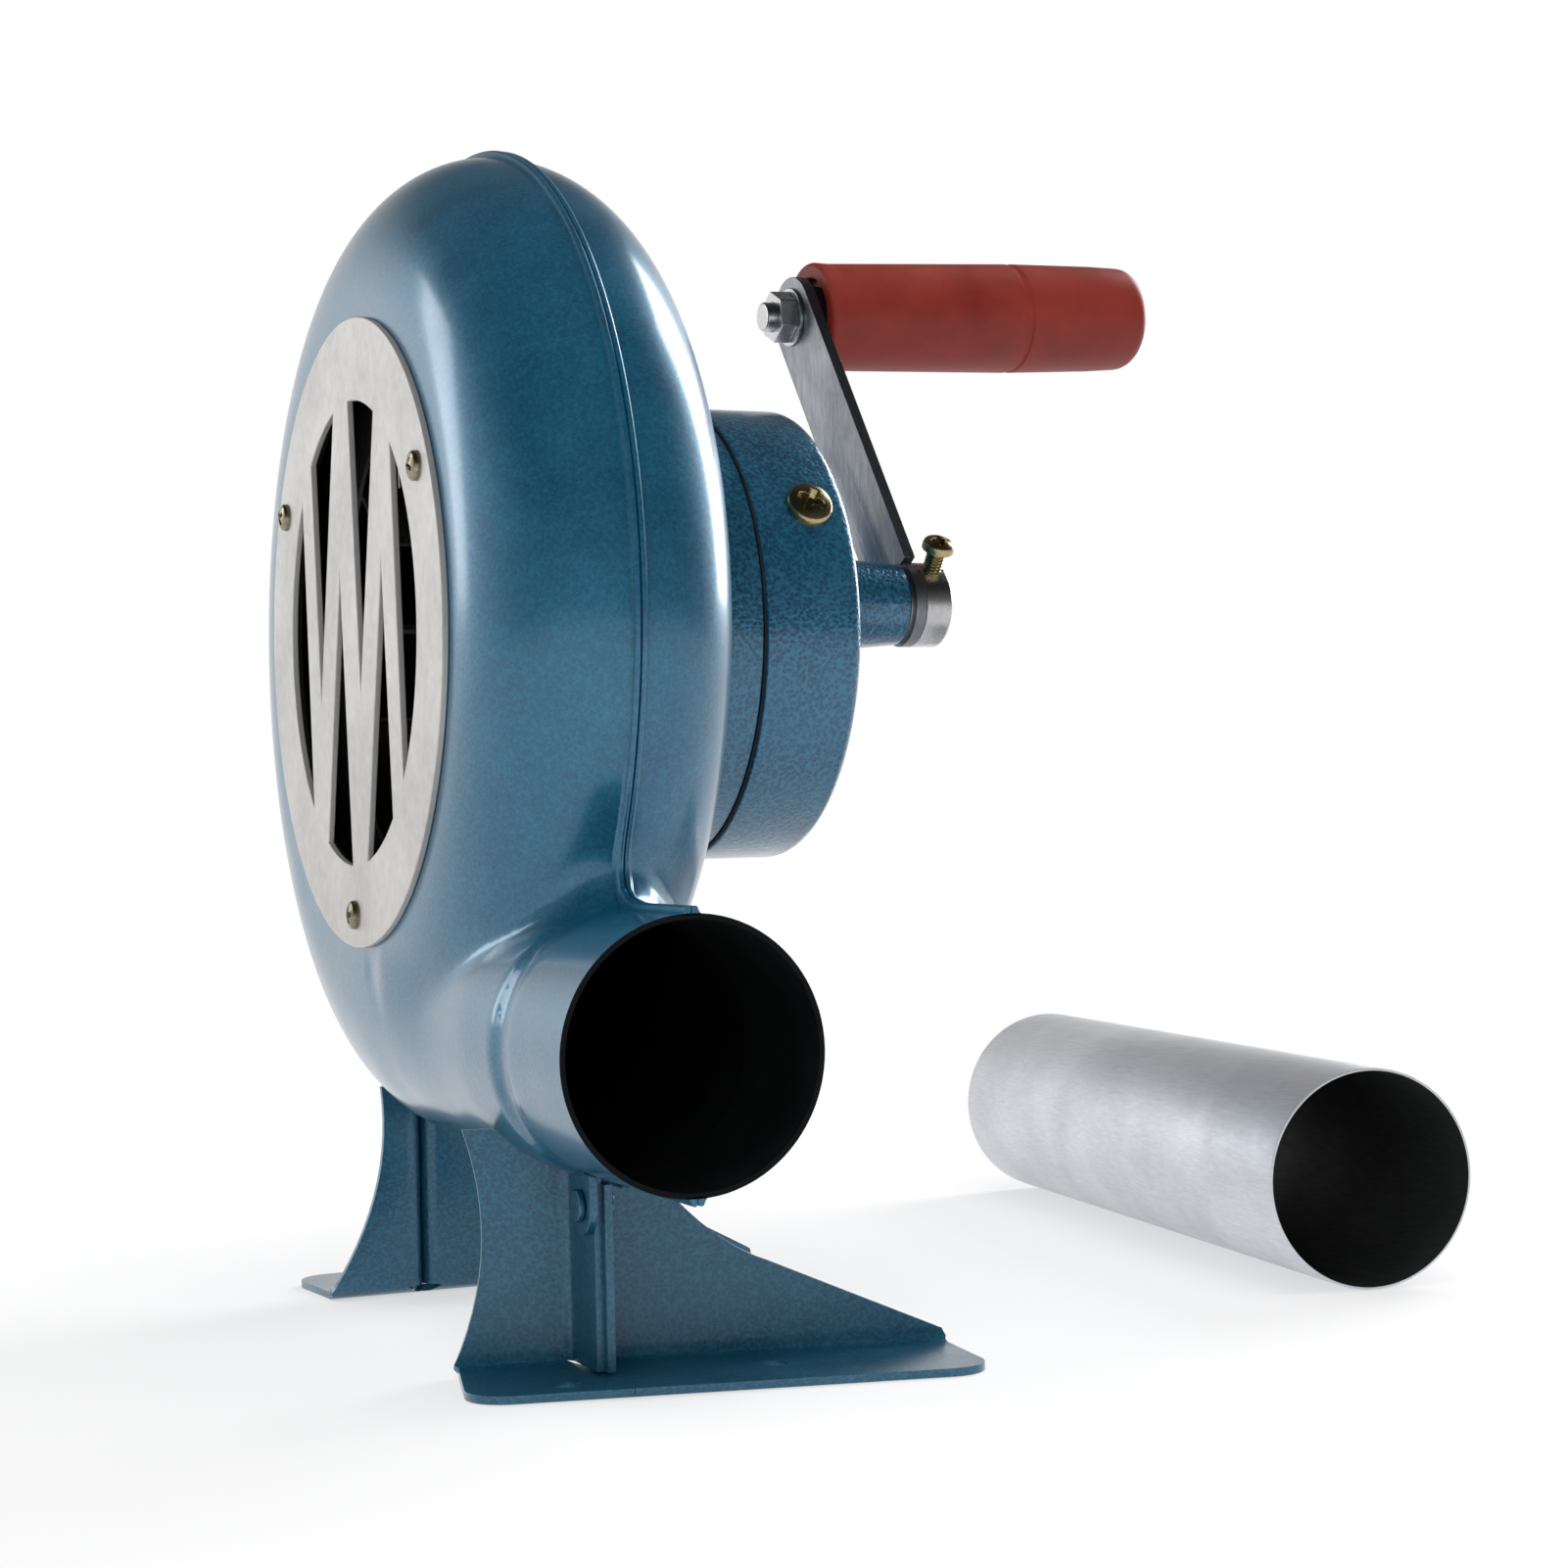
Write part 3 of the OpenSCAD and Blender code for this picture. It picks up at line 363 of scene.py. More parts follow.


# the number after the roughness pair sets the painted shade in the dimples and highlight on the ridges
casingPaint = paintMaterial("blue casing paint", (0.005, 0.068, 0.135), (0.016, 0.165, 0.285), 0.0010, 0.14,
                            0.12 * mm, (0.30, 0.42), 0.25)
hammerPaint = paintMaterial("hammered gearbox paint", (0.003, 0.034, 0.080), (0.022, 0.150, 0.26), 0.0010,
                            0.8, 0.26 * mm, (0.28, 0.42), 0.7)
footPaint = paintMaterial("hammered foot paint", (0.004, 0.058, 0.115), (0.018, 0.135, 0.225), 0.0009,
                          0.45, 0.18 * mm, (0.34, 0.46), 0.5, 0.24)
satinSheet = metalMaterial("satin grille sheet", (0.54, 0.53, 0.515), (0.66, 0.65, 0.63), (0.50, 0.64),
                           (900, 260, 260), 0.08, 0.75)
# the last setting of these metals is the strength of the painted highlight on convex edges
zincPlate = metalMaterial("yellow zinc", (0.26, 0.20, 0.08), (0.60, 0.52, 0.32), (0.16, 0.34), edgeHighlight=0.6)
dullZinc = metalMaterial("dull grille screw zinc", (0.12, 0.105, 0.06), (0.42, 0.38, 0.27), (0.22, 0.42),
                         edgeHighlight=0.8)
armSteel = metalMaterial("dull arm steel", (0.16, 0.17, 0.19), (0.30, 0.31, 0.33), (0.34, 0.55),
                         (1400, 900, 120), 0.25, edgeHighlight=0.8)
brightSteel = metalMaterial("bright turned steel", (0.42, 0.42, 0.43), (0.62, 0.62, 0.63), (0.18, 0.36),
                            (2600, 500, 500), 0.15, edgeHighlight=0.4)
gearSteel = metalMaterial("cut gear steel", (0.20, 0.20, 0.21), (0.38, 0.38, 0.39), (0.26, 0.45),
                          (1800, 600, 600), 0.2, edgeHighlight=0.5)
bronzeMetal = metalMaterial("bush bronze", (0.28, 0.15, 0.05), (0.50, 0.30, 0.12), (0.22, 0.42))
fanAluminium = metalMaterial("fan sheet", (0.30, 0.31, 0.32), (0.48, 0.49, 0.50), (0.34, 0.55),
                             (500, 1500, 500), 0.15)
galvanised = metalMaterial("rolled pipe sheet", (0.60, 0.61, 0.65), (0.80, 0.81, 0.85), (0.40, 0.54),
                           (1500, 14, 1500), 0.2, 0.75)
# near-black bore: painted shade inside the pipe
boreShade = metalMaterial("painted shade in the pipe bore", (0.012, 0.014, 0.013), (0.03, 0.034, 0.032), (0.5, 0.7),
                         (1500, 14, 1500), 0.1, 0.3)


def plainMaterial(name, dark, light, rough, specular, grain, bumpStrength, bumpDepth):
    material, tree, shader = newMaterial(name, Specular_IOR_Level=specular)
    flake = placeGroup(tree, flakeGroup, Size=grain)
    hammer = placeGroup(tree, hammerGroup, Cell=grain * 2)
    tree.links.new(mixColour(tree, flake.outputs["Cloud"], dark, light), shader.inputs["Base Color"])
    tree.links.new(mapRange(tree, flake.outputs["Cloud"], 0.0, 1.0, rough[0], rough[1]),
                   shader.inputs["Roughness"])
    bumpFrom(tree, shader, hammer.outputs["Height"], bumpStrength, bumpDepth)
    return material


redGrip = plainMaterial("moulded red grip", (0.165, 0.014, 0.009), (0.245, 0.026, 0.016), (0.42, 0.55), 0.3,
                        0.0005, 0.10, 0.1 * mm)
gasketRubber = plainMaterial("black gasket rubber", (0.010, 0.010, 0.011), (0.020, 0.020, 0.021),
                             (0.6, 0.8), 0.3, 0.0005, 0.2, 0.1 * mm)
# near-black inner faces of the shells: painted shade inside the casing
casingInsideShade = plainMaterial("painted shade inside the casing", (0.004, 0.0045, 0.005), (0.007, 0.008, 0.009),
                             (0.75, 0.9), 0.08, 0.0008, 0.2, 0.1 * mm)
print("materials made")

# ---- casing shells ----

casing = {
    "arcs": [((2, 2), 114.5), ((2, -2), 118.5), ((-2, -2), 122.5)],
    "frontShoulder": (36.6, 31.2),
    "rearShoulder": (32.0, 32.0),
    "sheet": 1.2,
    "tubeR": 29.3,
    "bottom": -124.5,
    "mouthY": float(toCasing(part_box("front_casing")[0])[1]),
    "tubeStart": (-45.0, 43.0),
    "neckWiden": 0.9,
    "neckStart": (-48.0, 30.0),
    "neckEnd": (-95.0, 3.2),
    "grooveY": -101.0,
    "grooveDepth": 0.5,
    "grooveWidth": 2.6,
    "creaseBlend": 5.0,
    "gussetBlend": 19.0,
    "gussetWidth": 11.0,
    "gussetStart": (-70.0, 15.0),
    "gusset": ((-123.7, -45.9), 20.0),
    "blendFloor": (-116.0, 12.0),
    "blendEnd": (-4.0, 14.0),
    "cell": 2.1,
    "smoothing": 6,
    "gridTop": 124.0,
    "gridZ": (-130.0, 122.0),
    "intakeR": 57.2,
    "bossHoleR": 11.4,
}


def ovalField(across, along, oval):
    # about how far a point lies outside an oval with these half axes
    share = np.hypot(across / oval[0], along / oval[1]) + 1e-9
    return (share - 1) * share / (np.hypot(across / oval[0] ** 2, along / oval[1] ** 2) + 1e-9)


def rise(value, span):
    start, run = span
    return smoothStep((value - start) / run)


def fall(value, span):
    start, run = span
    return smoothStep((start - value) / run)


def shellField(points, shoulder):
    # distance-like field of one half shell; points are in the casing frame
    c = casing
    inward, depth = shoulder
    x, y, z = np.abs(points[..., 0]), points[..., 1], points[..., 2]
    upper, lower = (y >= 2) & (z >= -2), (y >= -2) & (z < -2)
    (c1, r1), (c2, r2), (c3, r3) = c["arcs"]
    cy = np.where(lower, c3[0], np.where(upper, c2[0], c1[0]))
    cz = np.where(lower, c3[1], np.where(upper, c2[1], c1[1]))
    radius = np.where(lower, r3, np.where(upper, r2, r1))
    q = np.hypot(y - cy, z - cz) - (radius - inward)
    scroll = np.where(q < 0, x - depth, ovalField(np.maximum(q, 0), x, shoulder))
    root = rise(y, c["tubeStart"])
    tubeHigh = c["tubeR"] + (inward - c["tubeR"]) * root
    tubeWide = c["tubeR"] + (depth - c["tubeR"]) * root
    tube = ovalField(z - c["bottom"] - tubeHigh, x, (tubeHigh, tubeWide))
    neckEnd, neckStep = c["neckEnd"]
    neck = c["neckWiden"] * fall(y, c["neckStart"]) * rise(y, (neckEnd - neckStep, neckStep))
    groove = c["grooveDepth"] * np.exp(-((y - c["grooveY"]) / c["grooveWidth"]) ** 2)
    tube = np.maximum(tube - neck + groove, y)
    corner = np.exp(-(x / c["gussetWidth"]) ** 2) * fall(y, c["gussetStart"])
    blend = c["creaseBlend"] + (c["gussetBlend"] - c["creaseBlend"]) * corner
    blend = blend * rise(z, c["blendFloor"]) * fall(y, c["blendEnd"]) + 0.01
    near = np.maximum(blend - np.abs(scroll - tube), 0) / blend
    return np.minimum(scroll, tube) - near * near * blend / 4


def fieldSlope(points, shoulder):
    step = 0.04
    slope = np.zeros_like(points)
    for axis, shift in enumerate(np.eye(3) * step):
        ahead, back = shellField(points + shift, shoulder), shellField(points - shift, shoulder)
        slope[..., axis] = (ahead - back) / (2 * step)
    return slope


def surfaceNet(values, xs, ys, zs):
    # quads through the cells where the field changes sign
    grid = np.stack(np.meshgrid(xs, ys, zs, indexing="ij"), -1)
    inside = values < 0
    cellShape = tuple(n - 1 for n in values.shape)
    total, count = np.zeros(cellShape + (3,)), np.zeros(cellShape)
    quads = []
    for axis in range(3):
        low = tuple(slice(0, -1) if i == axis else slice(None) for i in range(3))
        high = tuple(slice(1, None) if i == axis else slice(None) for i in range(3))
        cross = inside[low] != inside[high]
        where = np.argwhere(cross)
        share = values[low][cross] / (values[low][cross] - values[high][cross])
        crossing = grid[low][cross] + share[:, None] * (grid[high][cross] - grid[low][cross])
        u, v = (axis + 1) % 3, (axis + 2) % 3
        around, whole = [], np.ones(len(where), bool)
        for du, dv in ((0, 0), (-1, 0), (-1, -1), (0, -1)):
            cell = where.copy()
            cell[:, u] += du
            cell[:, v] += dv
            fits = ((cell >= 0) & (cell < np.array(cellShape))).all(1)
            np.add.at(total, tuple(cell[fits].T), crossing[fits])
            np.add.at(count, tuple(cell[fits].T), 1)
            around.append(cell)
            whole &= fits
        quad = np.stack(around, 1)[whole]
        flip = ~inside[low][cross][whole]
        quad[flip] = quad[flip][:, ::-1]
        quads.append(quad)
    number = np.full(cellShape, -1)
    used = count > 0
    number[used] = np.arange(used.sum())
    verts = total[used] / count[used][:, None]
    quads = np.concatenate(quads)
    faces = number[quads[..., 0], quads[..., 1], quads[..., 2]]
    layer = np.argwhere(used)
    return verts, faces, layer


def settle(verts, shoulder, holdX, holdY, rounds=3):
    # moves points onto the shell's surface; held points stay in their plane
    for _ in range(rounds):
        slope = fieldSlope(verts, shoulder)
        slope[holdX, 0] = 0
        slope[holdY, 1] = 0
        size = (slope ** 2).sum(1) + 1e-9
        verts = verts - (shellField(verts, shoulder) / size)[:, None] * slope
    return verts


def boundaryEdges(faces):
    # edges with a face on one side only
    ends = {}
    for face in faces:
        for i in range(len(face)):
            a, b = int(face[i]), int(face[(i + 1) % len(face)])
            if (b, a) in ends:
                del ends[(b, a)]
            else:
                ends[(a, b)] = True
    return list(ends)


def halfShell(name, side, shoulder, hole, node):
    c = casing
    depth = shoulder[1]
    step = c["cell"]
    zLow, zHigh = c["gridZ"]
    xs = (np.arange(int((depth + 4) / step) + 2) - 0.5) * step
    ys = c["mouthY"] + (np.arange(int((c["gridTop"] - c["mouthY"]) / step) + 2) - 0.5) * step
    zs = zLow + np.arange(int((zHigh - zLow) / step) + 2) * step
    grid = np.stack(np.meshgrid(xs, ys, zs, indexing="ij"), -1)
    verts, faces, layer = surfaceNet(shellField(grid, shoulder), xs, ys, zs)
    holdX, holdY = layer[:, 0] == 0, layer[:, 1] == 0
    verts[holdX, 0] = 0
    verts[holdY, 1] = c["mouthY"]
    verts = settle(verts, shoulder, holdX, holdY)
    pairs = np.concatenate([faces[:, [0, 1]], faces[:, [1, 2]], faces[:, [2, 3]], faces[:, [3, 0]]])
    pairs = np.concatenate([pairs, pairs[:, ::-1]])
    free = ~(holdX | holdY)
    for _ in range(c["smoothing"]):
        total, count = np.zeros_like(verts), np.zeros(len(verts))
        np.add.at(total, pairs[:, 0], verts[pairs[:, 1]])
        np.add.at(count, pairs[:, 0], 1)
        verts[free] = 0.5 * verts[free] + 0.5 * (total / np.maximum(count, 1)[:, None])[free]
        verts = settle(verts, shoulder, holdX, holdY, 2)
    # the round hole in the flat face
    middle = verts[faces].mean(1)
    flat = middle[:, 0] > depth - 0.5
    faces = faces[~((np.hypot(middle[:, 1], middle[:, 2]) < hole) & flat)]
    rim = np.unique(boundaryEdges(faces))
    rim = rim[(np.hypot(verts[rim, 1], verts[rim, 2]) < hole + 2 * step) & (verts[rim, 0] > depth - 1)]
    size = np.hypot(verts[rim, 1], verts[rim, 2])
    verts[rim, 1:] *= (hole / size)[:, None]
    used = np.unique(faces)
    number = np.full(len(verts), -1)
    number[used] = np.arange(len(used))
    verts, faces = verts[used], number[faces]
    normal = fieldSlope(verts, shoulder)
    normal[holdX[used], 0] = 0
    normal /= np.linalg.norm(normal, axis=1)[:, None] + 1e-9
    inner = verts - c["sheet"] * normal
    count = len(verts)
    walls = [[b, a, a + count, b + count] for a, b in boundaryEdges(faces)]
    allVerts = np.concatenate([verts, inner])
    allVerts[:, 0] *= side
    allFaces = [list(f) for f in faces] + [list(f[::-1] + count) for f in faces] + walls
    obj = meshPiece(name, toRow(allVerts), allFaces, 60)
    showPiece(obj, [casingPaint, casingInsideShade], "root", [node])
    # the inner faces take the painted shade
    inside = np.zeros(len(obj.data.polygons), np.int32)
    inside[len(faces):] = 1
    obj.data.polygons.foreach_set("material_index", inside)
    return obj


frontShell = halfShell("frontShell", -1, casing["frontShoulder"], casing["intakeR"], "front_casing")
rearShell = halfShell("rearShell", 1, casing["rearShoulder"], casing["bossHoleR"], "rear_casing")
print("casing shells made", len(frontShell.data.vertices), len(rearShell.data.vertices))

# ---- folded seam ----

seam = {
    "front": [(-0.15, -0.5), (-0.15, 1.25), (-0.35, 1.5), (-0.75, 1.6), (-1.15, 1.45), (-1.4, 1.1),
              (-1.5, 0.5), (-1.9, 0.05), (-2.3, -0.3)],
    "rear": [(0.12, -0.5), (0.12, 1.1), (0.25, 1.35), (0.6, 1.52), (1.0, 1.5), (1.4, 1.25), (1.55, 0.7),
             (1.9, 0.1), (2.3, -0.3)],
    "pitch": 1.8,
    "stepsPerDegree": 1.2,
}


def arcLine(centre, radius, start, end):
    steps = max(4, int(abs(end - start) * seam["stepsPerDegree"]))
    angle = np.radians(np.linspace(start, end, steps))
    return np.stack([0 * angle, centre[0] + radius * np.cos(angle), centre[1] + radius * np.sin(angle)], 1)


def seamPath():
    # from the mouth's bottom edge, up the back, over the top and down to the mouth's top edge
    c = casing
    (c1, r1), (c2, r2), (c3, r3) = c["arcs"]
    gusset, gussetR = c["gusset"]
    top = c["bottom"] + 2 * c["tubeR"]
    touch = math.degrees(math.atan2(gusset[1] - c1[1], gusset[0] - c1[0])) % 360
    raw = np.concatenate([
        [[0, c["mouthY"], c["bottom"]], [0, c["gussetStart"][0], c["bottom"]]],
        arcLine(c3, r3, -90, 0), arcLine(c2, r2, 0, 90), arcLine(c1, r1, 90, touch),
        arcLine(gusset, gussetR, touch - 180, -90), [[0, c["mouthY"], top]]])
    run = np.concatenate([[0], np.cumsum(np.linalg.norm(np.diff(raw, axis=0), axis=1))])
    even = np.linspace(0, run[-1], int(run[-1] / seam["pitch"]))
    path = np.stack([np.interp(even, run, raw[:, i]) for i in range(3)], 1)
    return settle(path, c["frontShoulder"], slice(None), [0, -1], 4)


def sweepSeam(section):
    # sweeps a closed (across, out) section along the seam
    path = seamPath()
    tangent = np.gradient(path, axis=0)
    tangent /= np.linalg.norm(tangent, axis=1)[:, None]
    out = np.stack([0 * tangent[:, 0], -tangent[:, 2], tangent[:, 1]], 1)
    slope = fieldSlope(path, casing["frontShoulder"])
    out *= np.sign((out * slope).sum(1))[:, None]
    verts = [p + o * h + np.array([x, 0, 0]) for p, o in zip(path, out) for x, h in section]
    n = len(section)
    faces = [[i * n + j, i * n + (j + 1) % n, (i + 1) * n + (j + 1) % n, (i + 1) * n + j]
             for i in range(len(path) - 1) for j in range(n)]
    faces += [list(range(n))[::-1], [(len(path) - 1) * n + j for j in range(n)]]
    return toRow(verts), faces


for side, name in (("front", "frontSeamFold"), ("rear", "rearSeamFold")):
    verts, faces = sweepSeam(seam[side])
    showPiece(meshPiece(name, verts, faces, 50), [casingPaint], "root")
print("seam folded")

# ---- feet: bent sheets, cut flat and then folded ----

foot = {
    "sheet": 1.8,
    "bend": 3.2,
    "ribBend": 2.6,
    "frontWebY": -83.0,
    "rearWebY": 36.0,
    "splay": 12.0,
    "flange": 34.5,
    "corner": 9.0,
    "rib": -6.6,
    "ribDepth": 18.0,
    "waist": 6.5,
    "top": 54.0,
    "left": 34.5,
    "right": 79.0,
    "knee": (36.0, 22.0),
    "holeR": 3.0,
    "holesX": (-18.0, 30.0),
    "holesY": (-106.0, 54.0),
    "notch": 2.3,
    "gap": 0.06,
    "endHeight": 4.5,
}


def bezier(a, b, c, steps=14):
    t = np.linspace(0, 1, steps)[:, None]
    a, b, c = (np.array(p, float) for p in (a, b, c))
    return (1 - t) ** 2 * a + 2 * t * (1 - t) * b + t * t * c


def insidePolygon(points, polygon):
    x, y = points[:, 0], points[:, 1]
    inside = np.zeros(len(points), bool)
    for (x0, y0), (x1, y1) in zip(polygon, np.roll(polygon, -1, axis=0)):
        crosses = (y0 > y) != (y1 > y)
        inside ^= crosses & (x < (x1 - x0) * (y - y0) / (y1 - y0 + 1e-12) + x0)
    return inside


def cutPattern(outline, holes, lines):
    # triangles of a flat pattern, with the fold lines as edges
    verts, edges = [], []
    for loop in [outline] + holes:
        base = len(verts)
        verts += [Vector(p) for p in loop]
        edges += [(base + i, base + (i + 1) % len(loop)) for i in range(len(loop))]
    for a, b in lines:
        edges.append((len(verts), len(verts) + 1))
        verts += [Vector(a), Vector(b)]
    made = geometry.delaunay_2d_cdt(verts, edges, [], 0, 1e-4)
    points = np.array([tuple(v) for v in made[0]])
    faces = np.array([list(f) for f in made[2]])
    middle = points[faces].mean(1)
    keep = insidePolygon(middle, np.array(outline))
    for hole in holes:
        keep &= ~insidePolygon(middle, np.array(hole))
    return points, faces[keep]


def footHalf(name, side, front, wing, flangeEnd, webEnd, node):
    # one sheet: flange, web and rib; u runs along the web, v across the bend between flange and web
    f = foot
    half = f["sheet"] / 2
    turn = math.radians(f["splay"]) if front else 0.0
    rib = f["rib"] / math.cos(turn)
    bendR, ribR = f["bend"] + half, f["ribBend"] + half
    bendLen = bendR * math.pi / 2
    toV = lambda z: bendLen + z - half - bendR
    webY = f["frontWebY"] if front else f["rearWebY"]
    flip = 1 if front else -1
    ribTurn = math.pi / 2 + side * turn
    sign = -side
    ribStart = rib - half * math.tan(turn) - sign * (ribR + half) * math.tan(ribTurn / 2)
    ribLen = ribR * ribTurn
    cosT, sinT = math.cos(-turn), math.sin(-turn)

    def fold(p, w):
        # from the flat pattern, w away from the sheet's middle, to the folded sheet
        u, v = p
        x, y, z = u, w, half + bendR + v - bendLen
        if v < 0:
            y, z = v - bendR, half - w
        elif v < bendLen:
            phi = v / bendR
            y = -bendR + (bendR + w) * math.sin(phi)
            z = half + bendR - (bendR + w) * math.cos(phi)
        q = sign * (u - ribStart)
        if q > 0.01 and v > toV(f["notch"]) - 0.01:
            z = half + bendR + v - bendLen
            psi = min(q / ribR, ribTurn)
            x = ribStart + sign * (ribR + w) * math.sin(psi)
            y = -ribR + (ribR + w) * math.cos(psi)
            if q > ribLen:
                x += sign * (q - ribLen) * math.cos(ribTurn)
                y -= (q - ribLen) * math.sin(ribTurn)
        return [cosT * x - sinT * y, flip * (sinT * x + cosT * y) + webY, z + floorDrop]

    def underside(u, w=0.0):
        # height of the casing's underside above the web at u
        low, high = 15.0, 75.0
        p = np.array(fold((u, toV(20.0)), w))
        shell = casing["frontShoulder"] if p[0] < 0 else casing["rearShoulder"]
        zs = np.arange(low, high, 0.25)
        line = np.repeat(p[None], len(zs), 0)
        line[:, 2] = zs + floorDrop
        hit = np.nonzero(shellField(line, shell) < -0.2)[0]
        return zs[hit[0]] if len(hit) else high

    # web edge from the rib to the flange's outer end
    limit = min(f["top"], wing[0][1]) if side < 0 else f["top"]
    top = [(u, min(limit, underside(u))) for u in np.linspace(ribStart, wing[0][0], 26)]
    edge = [(u, min(z, underside(u))) for u, z in wing]
    flangeV = lambda y: y + bendR
    ribTop = underside(ribStart) - 0.2
    frontEdge = flangeV(-f["flange"])
    corner = f["corner"]
    angles = np.linspace(0, math.pi / 2, 7)
    gap = sign * f["gap"]
    flat = [(rib + f["flange"] * math.tan(turn) - gap, frontEdge)]
    flat += [(side * (flangeEnd - corner + corner * math.sin(a)), frontEdge + corner - corner * math.cos(a))
             for a in angles]
    flat += [(side * webEnd, bendLen * 0.35)]
    outline = flat + [(u, toV(z)) for u, z in edge[::-1]] + [(u, toV(z)) for u, z in top[::-1]]
    ribOut = ribStart + sign * (ribLen + f["ribDepth"] - ribR)
    outline += [(ribOut, toV(ribTop)), (ribOut, toV(f["notch"])), (ribStart, toV(f["notch"])),
                (rib - gap, -0.1)]
    clean = [outline[0]]
    for p in outline[1:]:
        if math.dist(p, clean[-1]) > 0.05:
            clean.append(p)
    low, high = min(p[0] for p in clean) - 5, max(p[0] for p in clean) + 5
    lines = [((low, v), (high, v)) for v in np.linspace(0, bendLen, 6)]
    lines += [((low, v), (high, v)) for v in np.arange(-28, -2, 6.5)]
    lines += [((low, v), (high, v)) for v in np.arange(bendLen + 5, toV(52), 7)]
    lines += [((ribStart + sign * ribLen * k / 5, toV(f["notch"]) - 0.05),
               (ribStart + sign * ribLen * k / 5, toV(75))) for k in range(6)]
    holes = []
    for hx in f["holesX"]:
        for hy in f["holesY"]:
            if (hy < 0) != front:
                continue
            dx, dy = hx, (hy - webY) * flip
            hu, hv = cosT * dx + sinT * dy, -sinT * dx + cosT * dy
            if (hu < rib) == (side < 0):
                holes.append([(hu + f["holeR"] * math.cos(a), flangeV(hv) + f["holeR"] * math.sin(a))
                              for a in np.linspace(0, 2 * math.pi, 25)[:-1]])
    points, faces = cutPattern(clean, holes, lines)
    used = np.unique(faces)
    number = np.full(len(points), -1)
    number[used] = np.arange(len(used))
    points, faces = points[used], number[faces]
    back = [fold(p, half) for p in points]
    face = [fold(p, -half) for p in points]
    count = len(points)
    sides = [[b, a, a + count, b + count] for a, b in boundaryEdges(faces)]
    allFaces = [list(t) for t in faces] + [list(t[::-1] + count) for t in faces] + sides
    obj = meshPiece(name, toRow(face + back), allFaces)
    work = bmesh.new()
    work.from_mesh(obj.data)
    bmesh.ops.dissolve_limit(work, angle_limit=math.radians(0.5), verts=work.verts, edges=work.edges)
    bmesh.ops.recalc_face_normals(work, faces=work.faces)
    work.to_mesh(obj.data)
    work.free()
    obj.data.shade_smooth()
    obj.data.set_sharp_from_angle(angle=math.radians(40))
    return showPiece(obj, [footPaint], "root", [node], 40, 0.3)


def leftWing(topX, bottomX):
    waist = ((topX + bottomX) / 2 + 1.6 * foot["waist"], 0.5 * foot["top"])
    return [tuple(p) for p in bezier((topX, foot["top"]), waist, (bottomX, 2.0))]


def rightWing(start, knee, endX):
    curve = [tuple(p) for p in bezier(start, ((start[0] + knee[0]) / 2, knee[1] + 5), knee)]
    return curve + [(endX, foot["endHeight"]), (endX + 0.8, 2.2)]


f = foot
kneeX, kneeZ = f["knee"]
footHalf("frontFootLeft", -1, True, leftWing(3 - f["left"], -f["left"]), f["left"], f["left"] - 1,
         "front_foot_left")
footHalf("frontFootRight", 1, True, rightWing((8, f["top"] - 8), f["knee"], f["right"] - 3), f["right"],
         f["right"] - 2.5, "front_foot_right")
footHalf("rearFootLeft", -1, False, leftWing(17 - f["left"], 3 - f["left"]), f["left"] - 2,
         f["left"] - 4, "rear_foot_left")
footHalf("rearFootRight", 1, False, rightWing((22, f["top"] + 4), (kneeX + 8, kneeZ + 4), f["right"] + 5),
         f["right"] + 8, f["right"] + 5.5, "rear_foot_right")
softened("nozzle_lug", "root", footPaint, 0.3)
softened("lug_rivet", "root", footPaint, 0.5)
print("feet folded")

# ---- screws ----

# shares of the head's radius or height
screwShape = {"segments": 96, "rings": 36, "slotWidth": 0.15, "slotReach": 0.62, "slotDepth": 0.62,
              "slotFall": 0.30, "crown": 0.42, "rim": 0.30, "rimFrom": 0.86}


def screw(place, headR, headH, shankR, shankLen, thread=0.0, flank=0.0):
    # pan head with a cross recess; the head stands on -X of the place, the shank runs to +X
    s = screwShape
    n = s["segments"]
    verts, faces, rings = [], [], []

    def height(r, t):
        y, z = r * math.cos(t), r * math.sin(t)
        share = r / headR
        dome = headH - s["crown"] * headH * share ** 2
        if share > s["rimFrom"]:
            past = (share - s["rimFrom"]) / (1 - s["rimFrom"])
            dome -= s["rim"] * headH * (1 - math.sqrt(max(0, 1 - past ** 2)))
        wide, long = s["slotWidth"] * headR, s["slotReach"] * headR
        inSlot = 0.0
        for a, b in ((abs(y), abs(z)), (abs(z), abs(y))):
            acrossFall = float(smoothStep((wide * 1.25 - a) / (wide * 0.45)))
            alongFall = float(np.clip((long - b) / (s["slotFall"] * headR), 0, 1))
            inSlot = max(inSlot, acrossFall * alongFall)
        return dome - s["slotDepth"] * headH * inSlot

    verts.append((-height(0, 0), 0, 0))
    angles = [2 * math.pi * (k + 0.5) / n for k in range(n)]
    for ring in range(1, s["rings"] + 1):
        r = headR * ring / s["rings"]
        rings.append(range(len(verts), len(verts) + n))
        verts += [(-height(r, t), r * math.cos(t), r * math.sin(t)) for t in angles]
    under = [(0.0, headR), (0.0, shankR)]
    if thread:
        steps = int(shankLen / thread * 8)
        under += [(shankLen * (i + 1) / steps, shankR) for i in range(steps)]
    else:
        under += [(shankLen - 0.5, shankR), (shankLen, shankR - 0.5)]
    for a, r in under:
        rings.append(range(len(verts), len(verts) + n))
        for k, t in enumerate(angles):
            cut = 0.0
            if thread and a > 0.8:
                phase = (a / thread - k / n) % 1
                cut = flank * abs(2 * phase - 1)
            verts.append((a, (r - cut) * math.cos(t), (r - cut) * math.sin(t)))
    for k in range(n):
        faces.append((0, rings[0][k], rings[0][(k + 1) % n]))
    for one, two in zip(rings, rings[1:]):
        faces += [(one[k], two[k], two[(k + 1) % n], one[(k + 1) % n]) for k in range(n)]
    faces.append(tuple(rings[-1]))
    return [place @ (Vector(v) * mm) for v in verts], [list(f) for f in faces]


